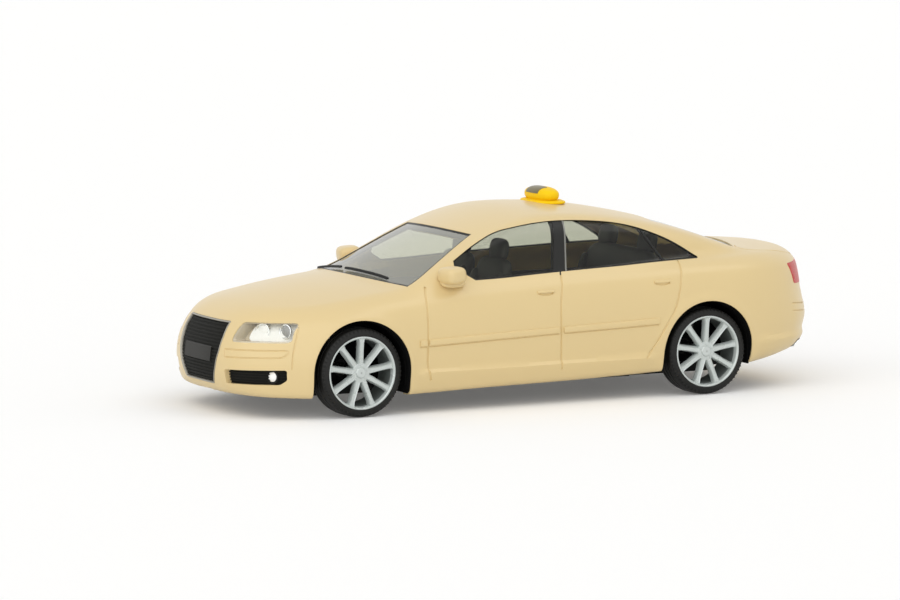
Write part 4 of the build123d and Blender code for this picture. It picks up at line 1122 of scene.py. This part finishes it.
def wheel_rim(side, axle_y):
    """Silver rim with spokes, a hub with bolts and a barrel behind, darkened in its colour as painted shade.
    """
    ring = dress(turned("flange", FLANGE_PROFILE, (0, 0, 0), segments=96), SILVER)
    barrel = dress(turned("barrel", BARREL_PROFILE, (0, 0, 0), segments=96), SHADED_BARREL_SILVER)
    disc = dress(turned("hub", HUB_PROFILE, (0, 0, 0), segments=64), SILVER)
    bolt = dress(turned("bolt", BOLT_PROFILE, (0, 0, BOLT_CIRCLE), segments=6), SILVER)
    rim = repeated_round(ring, dress(wheel_spoke(), SILVER), SPOKES, SILVER)
    hub = repeated_round(disc, bolt, BOLTS, SILVER)
    whole = joined("wheel_rim", [dress(rim, SILVER, 30), dress(hub, SILVER, 30), barrel])
    return moved(whole, (WHEEL_FACE * side, axle_y, TYRE_RADIUS), flip=side < 0)


def tyre(side, axle_y):
    """Low tyre with three grooves round its tread and short ribs on its outer shoulder."""
    r, w = TYRE_RADIUS, TYRE_WIDTH
    profile = [(0.0, RIM_RADIUS), (0.03, RIM_RADIUS + 0.1), (0.0, r - 0.5), (-0.04, r - 0.3),
               (-0.14, r - 0.13), (-0.3, r - 0.04)]
    for middle in (-0.75, -w / 2, -w + 0.75):
        floor_r = r - 0.12
        profile += [(middle + 0.08, r), (middle + 0.06, floor_r), (middle - 0.06, floor_r), (middle - 0.08, r)]
    profile += [(-w + 0.3, r - 0.04), (-w + 0.14, r - 0.13), (-w + 0.03, r - 0.4), (-w, RIM_RADIUS)]
    ring = dress(turned("tyre", profile, (0, 0, 0), segments=120), RUBBER)
    rib_outline = [(-0.05, r - 0.36), (0.05, r - 0.36), (0.05, r - 0.14), (-0.05, r - 0.14)]
    rib = prism_mesh("rib", rib_outline, -0.3, -0.02, "X")
    tyre_piece = repeated_round(ring, dress(rib, RUBBER), TREAD_BLOCKS, RUBBER)
    moved(tyre_piece, (WHEEL_FACE * side, axle_y, r), flip=side < 0)
    return dress(tyre_piece, RUBBER, 35)


def wheelset(end, axle_y):
    """Two wheels and the steel axle between them."""
    body_name = f"{end}_wheelset"
    for side, word in SIDES.items():
        carried(wheel_rim(side, axle_y), "wheel_silver", f"{end}_rim_{word}", body=body_name)
        carried(tyre(side, axle_y), "tyre", f"{end}_tyre_{word}", body=body_name)
    pin = turned("axle_pin", AXLE_PROFILE, (0, axle_y, TYRE_RADIUS), segments=40)
    carried(dress(pin, STEEL), "axle_steel", f"{end}_axle", body=body_name)


wheelset("front", FRONT_AXLE_Y)
wheelset("rear", REAR_AXLE_Y)

# Wheel arch liners, floor pan with bearing blocks, ribs and exhaust
PAN_TOP, PAN_BOTTOM = 2.55, 1.55
PAN_LEVEL = -1.75
LINER_FOOT = 2.45
# Cross-section of the black sheet of painted shade inside each arch's lip, in offsets across and body levels
SHADE_LINING_PROFILE = [(-0.05, -0.1), (-0.05, -1.6), (0.05, -1.6), (0.05, -0.1)]
AXLE_HOLE_PROFILE = [(-1, 0.01), (-1, 0.75), (1, 0.75), (1, 0.01)]
BORE_PROFILE = [(-8, 0.01), (-8, 0.56), (8, 0.56), (8, 0.01)]
RIB_PLACES_X, RIB_PLACES_Y = (-5.6, -3.6, 3.6, 5.6), (-12.2, -5.0, 2.2, 10.0)
RIVET_PLACES = ((0, -23.6), (0, 13.0), (-4.6, -1.4), (4.6, -1.4))
RIVET_PROFILE = [(-0.14, 0.02), (-0.14, 0.5), (-0.06, 0.62), (0.1, 0.62), (0.1, 0.02)]
FLOOR_PIPE_PROFILE = [(-7.5, 0.02), (-7.5, 0.36), (-7.4, 0.4), (7.4, 0.4), (7.5, 0.36), (7.5, 0.02)]


def arch_shade_lining(axle_y, side):
    """Black sheet over the ivory inner face of a wheel arch, from just behind the body's edge inwards: painted
    shade.
    """
    arc = arch_outline(axle_y, WELL, 2.0)[:ARC_POINTS]
    ends = [(y, float(underside(y)) + 0.12) for y in (axle_y + WELL, axle_y - WELL)]
    path = spaced([ends[0]] + arc + [ends[1]], PATH_STEP)
    return band("lining", path, SHADE_LINING_PROFILE, "side", side)


def arch_liner(side, axle_y):
    """Black tub in a wheel arch, open outwards and downwards, with a hole for the axle."""
    outside, inside = sorted((ARCH_INNER_X * side, 9.95 * side)), sorted((6.45 * side, 12 * side))
    outer = prism_mesh("liner", arch_outline(axle_y, WELL + 0.02, LINER_FOOT), *outside, "X")
    combine(outer, prism_mesh("room", arch_outline(axle_y, WELL - 0.12, -1), *inside, "X"))
    hole = turned("hole", AXLE_HOLE_PROFILE, (6.4 * side, axle_y, TYRE_RADIUS), segments=32)
    # Tub and sheet both in the extra-dark arch black, which is partly painted shade
    return joined("arch_liner", [dress(combine(outer, hole), ARCH_SHADE_BLACK), dress(arch_shade_lining(axle_y, side), ARCH_SHADE_BLACK)])


def rectangle(x_low, x_high, y_low, y_high):
    """Corners of a plan rectangle."""
    return [(x_low, y_low), (x_high, y_low), (x_high, y_high), (x_low, y_high)]


def pan_plate():
    """The pan's own plate inside the sills, with a raised rim and its tail stepped up."""
    pan = prism_mesh("pan", plan_loop(PAN_LEVEL, BELLY_Z, -24.5, 18.4, 6.2), PAN_BOTTOM, PAN_TOP, "Z")
    rim = prism_mesh("rim", plan_loop(PAN_LEVEL, BELLY_Z, -26.0, 18.4, 8.4), PAN_BOTTOM + 0.6, PAN_TOP, "Z")
    combine(pan, rim, "UNION")
    tail_plan = plan_loop(PAN_LEVEL, BELLY_Z, 17.6, 24.0, 8.3)
    step = prism_mesh("step", tail_plan, PAN_TOP - 0.35, PAN_TOP + 0.95, "Z")
    rise = [(18.4, 0), (26, 0), (26, PAN_TOP + 0.25), (18.9, PAN_TOP + 0.25)]
    combine(step, prism_mesh("rise", rise, -12, 12, "X"))
    return combine(pan, step, "UNION")


def fit_axle(pan, axle_y):
    """Wheel wells cut into the pan, two bearing blocks on it and the bore for the axle."""
    for side in SIDES:
        well = rectangle(7.2, 12, axle_y - WELL, axle_y + WELL)
        combine(pan, prism_mesh("well", on_side(well, side), -1, 9, "Z"))
        block = rectangle(3.3, 6.2, axle_y - 1.3, axle_y + 1.3)
        combine(pan, prism_mesh("bearing", on_side(block, side), PAN_BOTTOM + 0.02, 5.12, "Z"), "UNION")
    combine(pan, turned("bore", BORE_PROFILE, (0, axle_y, TYRE_RADIUS), segments=32))


def floor_pan():
    """Black pan with its ribs, silencer, pipes and rivets."""
    pan = pan_plate()
    for axle_y in (FRONT_AXLE_Y, REAR_AXLE_Y):
        fit_axle(pan, axle_y)
    pieces = [pan]
    for x in RIB_PLACES_X:
        rib = rectangle(x - 0.2, x + 0.2, -13.0, 10.2)
        pieces.append(prism_mesh("rib", rib, PAN_BOTTOM - 0.12, PAN_BOTTOM + 0.1, "Z"))
    for y in RIB_PLACES_Y:
        rib = rectangle(-5.8, 5.8, y - 0.2, y + 0.2)
        pieces.append(prism_mesh("rib", rib, PAN_BOTTOM - 0.1, PAN_BOTTOM + 0.1, "Z"))
    pieces.append(pebble("silencer", (0, 9.0, PAN_BOTTOM), (2.6, 1.7, 0.48), 4.0))
    for side in SIDES:
        pieces.append(turned("pipe", FLOOR_PIPE_PROFILE, (1.6 * side, 1.5, PAN_BOTTOM), (0, 1, 0), 28))
    for x, y in RIVET_PLACES:
        pieces.append(turned("rivet", RIVET_PROFILE, (x, y, PAN_BOTTOM), (0, 0, 1), 24))
    return joined("floor_pan", [dress(piece, BLACK) for piece in pieces])


carried(floor_pan(), "black_plastic", "chassis")
liners = [arch_liner(side, axle_y) for side in SIDES for axle_y in (FRONT_AXLE_Y, REAR_AXLE_Y)]
carried(joined("arch_liners", liners), "black_plastic")

# Interior: seats with bolsters and headrests, dashboard, the doors' inner panels
FLOOR_Z = 6.0
SEAT_LEAN, HEADREST_LEAN = (-14, 0, 0), (-10, 0, 0)
FRONT_SEAT_X, FRONT_SEAT_Y, FRONT_SEAT_WIDTH = 3.5, -7.2, 5.4
REAR_SEAT_Y, REAR_SEAT_WIDTH, REAR_HEADREST_X = 7.6, 12.6, 3.6
POST_PROFILE = [(-0.6, 0.01), (-0.6, 0.09), (0.6, 0.09), (0.6, 0.01)]


def headrest(x, y):
    """Headrest on two thin posts, for a seat that starts at y."""
    pieces = [pebble("headrest", (x, y + 5.6, FLOOR_Z + 6.95), (1.3, 0.55, 1.05), 3.0, lean=HEADREST_LEAN)]
    for post in (-0.4, 0.4):
        pieces.append(turned("post", POST_PROFILE, (x + post, y + 5.6, FLOOR_Z + 6.4), (0, 0.2, 1), 12))
    return pieces


def seat(x, y, width, headrests, name, node):
    """Seat with a rounded cushion and back, bolsters at both ends, and headrests at their places."""
    half = width / 2
    pieces = [pebble("cushion", (x, y + 2.3, FLOOR_Z + 1.1), (half, 2.5, 0.95), 5),
              pebble("back", (x, y + 4.7, FLOOR_Z + 3.5), (half, 0.62, 2.95), 4.5, lean=SEAT_LEAN)]
    for end in (-1, 1):
        bolster_x, wing_x = x + end * (half - 0.45), x + end * (half - 0.4)
        pieces.append(pebble("bolster", (bolster_x, y + 2.2, FLOOR_Z + 1.75), (0.45, 2.1, 0.4), 3))
        pieces.append(pebble("wing", (wing_x, y + 4.15, FLOOR_Z + 3.3), (0.4, 0.5, 2.0), 3, lean=SEAT_LEAN))
    for place in headrests:
        pieces += headrest(x + place, y)
    carried(joined(name, [dress(piece, INTERIOR) for piece in pieces]), "interior_plastic", node)


for side, word in SIDES.items():
    seat(FRONT_SEAT_X * side, FRONT_SEAT_Y, FRONT_SEAT_WIDTH, [0], "front_seat", f"front_seat_{word}")
seat(0, REAR_SEAT_Y, REAR_SEAT_WIDTH, [-REAR_HEADREST_X, REAR_HEADREST_X], "rear_bench_seat", "rear_bench")

# Tray with dashboard, console, door armrests and parcel shelf
TRAY_PLAN = rectangle(-7.0, 7.0, -12.6, 16.0)
TRAY_BOTTOM, TRAY_TOP = 5.4, 9.8
DASHBOARD_HALF, DASHBOARD_BOW = 6.6, 0.25
# The dashboard's side outline, (along, up)
DASHBOARD_PROFILE = [(-12.3, 5.9), (-12.3, 8.9), (-11.9, 9.5), (-11.2, 9.62), (-10.55, 9.3), (-10.3, 8.7),
                     (-10.5, 7.9), (-10.9, 7.2), (-11.1, 5.9)]
LEVER_PROFILE = [(0.0, 0.02), (0.0, 0.12), (0.9, 0.1), (1.0, 0.24), (1.3, 0.2), (1.35, 0.02)]
DOOR_ARMREST_X, DOOR_ARMREST_PLACES = 6.25, (-4.0, 8.0)


def dashboard():
    """The dashboard, bowed a little back towards the doors."""
    rows = [[(x, y + DASHBOARD_BOW * (x / DASHBOARD_HALF) ** 2, z) for y, z in DASHBOARD_PROFILE]
            for x in np.linspace(-DASHBOARD_HALF, DASHBOARD_HALF, 15)]
    return lofted("dashboard", rows)


def tray():
    """The interior moulding that carries the seats."""
    shell = prism_mesh("tray", TRAY_PLAN, TRAY_BOTTOM, TRAY_TOP, "Z")
    inner_plan = [(u * 0.915, v * 0.955 + 0.07) for u, v in TRAY_PLAN]
    combine(shell, prism_mesh("room", inner_plan, FLOOR_Z, 12, "Z"))
    pieces = [
        shell,
        dashboard(),
        pebble("hood", (3.5, -10.8, 9.5), (1.7, 0.6, 0.42), 2.8),
        pebble("console", (0, -9.0, 6.9), (0.75, 2.2, 1.15), 4.0),
        pebble("armrest", (0, -3.4, 7.4), (0.6, 1.5, 0.5), 3.5),
        turned("lever", LEVER_PROFILE, (0, -7.9, 7.8), (0, 0.15, 1), 20),
    ]
    for side in SIDES:
        for y in DOOR_ARMREST_PLACES:
            pieces.append(pebble("door_armrest", (DOOR_ARMREST_X * side, y, 8.9), (0.3, 2.4, 0.28), 3.5))
    pieces.append(pebble("parcel_shelf", (0, 14.6, 9.75), (6.2, 1.5, 0.22), 4.5))
    return joined("interior_tray", [dress(piece, INTERIOR) for piece in pieces])


STEERING_AT, STEERING_AXIS = (3.5, -8.8, 8.9), (0, 0.906, 0.423)
STEERING_RADIUS, STEERING_GRIP = 1.9, 0.2
COLUMN_PROFILE = [(-2.1, 0.02), (-2.1, 0.3), (0.0, 0.36), (0.0, 0.02)]
# Each station of a steering wheel's spoke: its reach from the hub and its half width
STEERING_SPOKE_STATIONS = [(0.3, 0.26), (1.1, 0.17), (1.85, 0.14)]


def steering_spoke(way):
    """Flat spoke from the hub to the ring, in the given direction."""
    axis = Vector(STEERING_AXIS)
    rows = []
    for reach, half in STEERING_SPOKE_STATIONS:
        middle = Vector(STEERING_AT) + way * reach
        flank, depth = axis.cross(way) * half, axis * 0.1
        rows.append([middle + flank + depth, middle - flank + depth, middle - flank - depth,
                     middle + flank - depth])
    return lofted("spoke", rows)


def driver_wheel():
    """Steering wheel with three spokes, hub and column."""
    centre, axis = STEERING_AT, STEERING_AXIS
    turns = np.linspace(0, 2 * math.pi, 13)[:-1]
    grip = [(STEERING_GRIP * math.cos(t), STEERING_RADIUS + STEERING_GRIP * math.sin(t)) for t in turns]
    pieces = [turned("ring", grip, centre, axis, 56),
              pebble("hub", centre, (0.55, 0.22, 0.5), 3.0, lean=(-25, 0, 0))]
    across = Vector((1, 0, 0))
    for way in (across, -across, Vector(axis).cross(across)):
        pieces.append(steering_spoke(way))
    pieces.append(turned("column", COLUMN_PROFILE, centre, axis, 24))
    return joined("driver_wheel", [dress(piece, INTERIOR) for piece in pieces])


carried(tray(), "interior_plastic", "interior")
carried(driver_wheel(), "interior_plastic", "steering_wheel")

# Door mirrors: centre and half sizes of the head, its recess, the foot and the glass on the left side
MIRROR_HEAD_AT, MIRROR_HEAD_HALF = (10.12, -9.6, 11.74), (1.2, 1.0, 0.74)
MIRROR_RECESS_AT, MIRROR_RECESS_HALF = (9.98, -8.62, 11.74), (0.9, 0.2, 0.5)
MIRROR_FOOT_AT, MIRROR_FOOT_HALF = (9.6, -9.3, 11.08), (0.72, 1.15, 0.34)
MIRROR_GLASS_AT, MIRROR_GLASS_HALF = (9.99, -8.75, 11.74), (0.86, 0.06, 0.47)


def door_mirror(side):
    """Ivory mirror on its foot, with a silver glass set in its back."""
    def place(centre):
        return (centre[0] * side, *centre[1:])

    lean = (4, 0, 10 * side)
    head = pebble("head", place(MIRROR_HEAD_AT), MIRROR_HEAD_HALF, 3.3, lean=lean)
    combine(head, pebble("recess", place(MIRROR_RECESS_AT), MIRROR_RECESS_HALF, 3.4, lean=lean))
    foot = pebble("foot", place(MIRROR_FOOT_AT), MIRROR_FOOT_HALF, 2.6, lean=(0, 22 * side, 0))
    glass = pebble("glass", place(MIRROR_GLASS_AT), MIRROR_GLASS_HALF, 3.4, lean=lean)
    shape = combine(dress(head, IVORY), foot, "UNION")
    return joined("door_mirror", [dress(shape, IVORY, 60), dress(glass, MIRROR_SILVER)])


for side, word in SIDES.items():
    carried(door_mirror(side), "body_plastic", f"mirror_{word}")

# Roof sign
SIGN_Y, SIGN_Z = 4.5, 17.33
SIGN_HALF, SIGN_POWER = (2.32, 1.08, 0.7), 2.4
SKIRT_AT, SKIRT_HALF = (0, SIGN_Y + 0.1, 16.72), (2.75, 1.5, 0.26)
PANEL_PROUD, PANEL_SUNK = 0.035, 0.04
PANEL_PLAN = rounded_corners([(-1.1, 3.3), (1.1, 3.3), (1.1, 4.5), (-1.1, 4.5)], 0.12)


def sign_ball(name, grow):
    """The sign's rounded block, grown by the given amount each way."""
    return pebble(name, (0, SIGN_Y, SIGN_Z), [half + grow for half in SIGN_HALF], SIGN_POWER)


def roof_sign():
    """Yellow sign on its skirt."""
    sign = sign_ball("roof_sign_body", 0)
    return combine(sign, pebble("skirt", SKIRT_AT, SKIRT_HALF, 2.6), "UNION")


def sign_panel():
    """Blank dark panel that follows the sign's front and top."""
    panel = sign_ball("sign_panel_face", PANEL_PROUD)
    combine(panel, prism_mesh("keep", PANEL_PLAN, 17.5, 18.6, "Z"), "INTERSECT")
    return combine(panel, sign_ball("core", -PANEL_SUNK))


carried(dress(roof_sign(), YELLOW, 50), "sign_plastic", "roof_sign", "sign_foot")
carried(dress(sign_panel(), SIGN_FACE, 50), "sign_panel", "sign_panel")

# Wipers lying on the windscreen, seen from above
WIPER_PATHS = ([(-0.6, -14.55), (2.6, -14.3), (6.1, -13.75)], [(-6.9, -14.15), (-4.6, -14.4), (-1.6, -14.45)])
WIPER_PROFILE = [(-0.1, 0.03), (0.1, 0.03), (0.06, 0.2), (-0.06, 0.2)]


def wipers():
    """Both wiper arms."""
    arms = [band("wiper_arm", flowing(path, CUT_STEP), WIPER_PROFILE, "top") for path in WIPER_PATHS]
    return joined("wiper_blades", [dress(arm, BLACK) for arm in arms])


carried(wipers(), "black_plastic", "wipers")

# Camera at the photograph's viewing angle
CAMERA_AT = (416.795, -218.151, 60.886)
CAMERA_TARGET = (0.0, -4.617, 8.350)
CAMERA_LENS, SENSOR_WIDTH = 214.45, 36
CAMERA_NEAR = 0.01


def aimed(target):
    """Rotation that looks along the given direction with Z upwards."""
    return target.to_track_quat("-Z", "Y").to_euler()


def set_camera():
    """The scene's camera, far off with a long lens."""
    camera = bpy.data.objects.new("camera", bpy.data.cameras.new("camera"))
    bpy.context.scene.collection.objects.link(camera)
    camera.location = Vector(CAMERA_AT) * METRES
    camera.rotation_euler = aimed(Vector(CAMERA_TARGET) - Vector(CAMERA_AT))
    camera.data.lens = CAMERA_LENS
    camera.data.sensor_width = SENSOR_WIDTH
    camera.data.clip_start = CAMERA_NEAR
    bpy.context.scene.camera = camera


def seen_rays(nodes, links):
    """A socket that is 1 for rays of the camera and those seen in or through a surface, else 0."""
    kinds = nodes.new("ShaderNodeLightPath")
    highest = kinds.outputs["Is Camera Ray"]
    for kind in ("Is Glossy Ray", "Is Transmission Ray"):
        either = nodes.new("ShaderNodeMath")
        either.operation = "MAXIMUM"
        links.new(highest, either.inputs[0])
        links.new(kinds.outputs[kind], either.inputs[1])
        highest = either.outputs["Value"]
    return highest


# Plain pale floor, lifted to white only where it is seen
FLOOR_REACH = 3000
FLOOR_COLOUR = (0.90, 0.90, 0.895)
FLOOR_GLOW, FLOOR_GLOW_COLOUR = 0.12, (1, 0.98, 0.94, 1)


def lay_floor():
    """A wide floor under the tyres."""
    plan = [(x, y, 0) for x, y in rectangle(-FLOOR_REACH, FLOOR_REACH, -FLOOR_REACH, FLOOR_REACH)]
    floor = mesh_piece("floor", plan, [(0, 1, 2, 3)], smooth=False)
    white = surface("floor", FLOOR_COLOUR, 0.8, grain=300, depth=0.02, shade=0.002, gleam=0.1)
    nodes, links = white.node_tree.nodes, white.node_tree.links
    glow = nodes.new("ShaderNodeMath")
    glow.operation = "MULTIPLY"
    glow.inputs[1].default_value = FLOOR_GLOW
    links.new(seen_rays(nodes, links), glow.inputs[0])
    shader = nodes["Principled BSDF"]
    shader.inputs["Emission Color"].default_value = FLOOR_GLOW_COLOUR
    links.new(glow.outputs["Value"], shader.inputs["Emission Strength"])
    floor.data.materials.append(white)


# Two soft lamps, one low from the camera's side and one high from behind, and an even white surround.
# A spread is the lamp's width in degrees.
SIDE_LAMP_FROM, SIDE_LAMP_STRENGTH, SIDE_LAMP_SPREAD = Vector((0.66, -0.78, 0.40)), 1.47, 100
TOP_LAMP_FROM, TOP_LAMP_STRENGTH, TOP_LAMP_SPREAD = Vector((0.35, 0.38, 0.80)), 0.28, 34
SURROUND_LIGHT, BACKDROP_WHITE = 0.70, 1.0


def soft_lamp(name, source, strength, spread):
    """A broad distant lamp that shines from the source's direction."""
    lamp_object = bpy.data.objects.new(name, bpy.data.lights.new(name, "SUN"))
    bpy.context.scene.collection.objects.link(lamp_object)
    lamp_object.data.energy = strength
    lamp_object.data.angle = math.radians(spread)
    lamp_object.rotation_euler = aimed(-source)


def set_surround():
    """White all round, brighter where it is seen than in what it lights."""
    world = bpy.data.worlds.new("studio")
    bpy.context.scene.world = world
    world.use_nodes = True
    nodes, links = world.node_tree.nodes, world.node_tree.links
    light = nodes["Background"]
    light.inputs["Color"].default_value = (1, 1, 1, 1)
    light.inputs["Strength"].default_value = SURROUND_LIGHT
    backdrop = nodes.new("ShaderNodeBackground")
    backdrop.inputs["Color"].default_value = (1, 1, 1, 1)
    backdrop.inputs["Strength"].default_value = BACKDROP_WHITE
    choice = nodes.new("ShaderNodeMixShader")
    links.new(seen_rays(nodes, links), choice.inputs["Fac"])
    links.new(light.outputs["Background"], choice.inputs[1])
    links.new(backdrop.outputs["Background"], choice.inputs[2])
    links.new(choice.outputs["Shader"], nodes["World Output"].inputs["Surface"])


set_camera()
lay_floor()
soft_lamp("side_lamp", SIDE_LAMP_FROM, SIDE_LAMP_STRENGTH, SIDE_LAMP_SPREAD)
soft_lamp("top_lamp", TOP_LAMP_FROM, TOP_LAMP_STRENGTH, TOP_LAMP_SPREAD)
set_surround()
bpy.context.scene.view_settings.view_transform = "Standard"
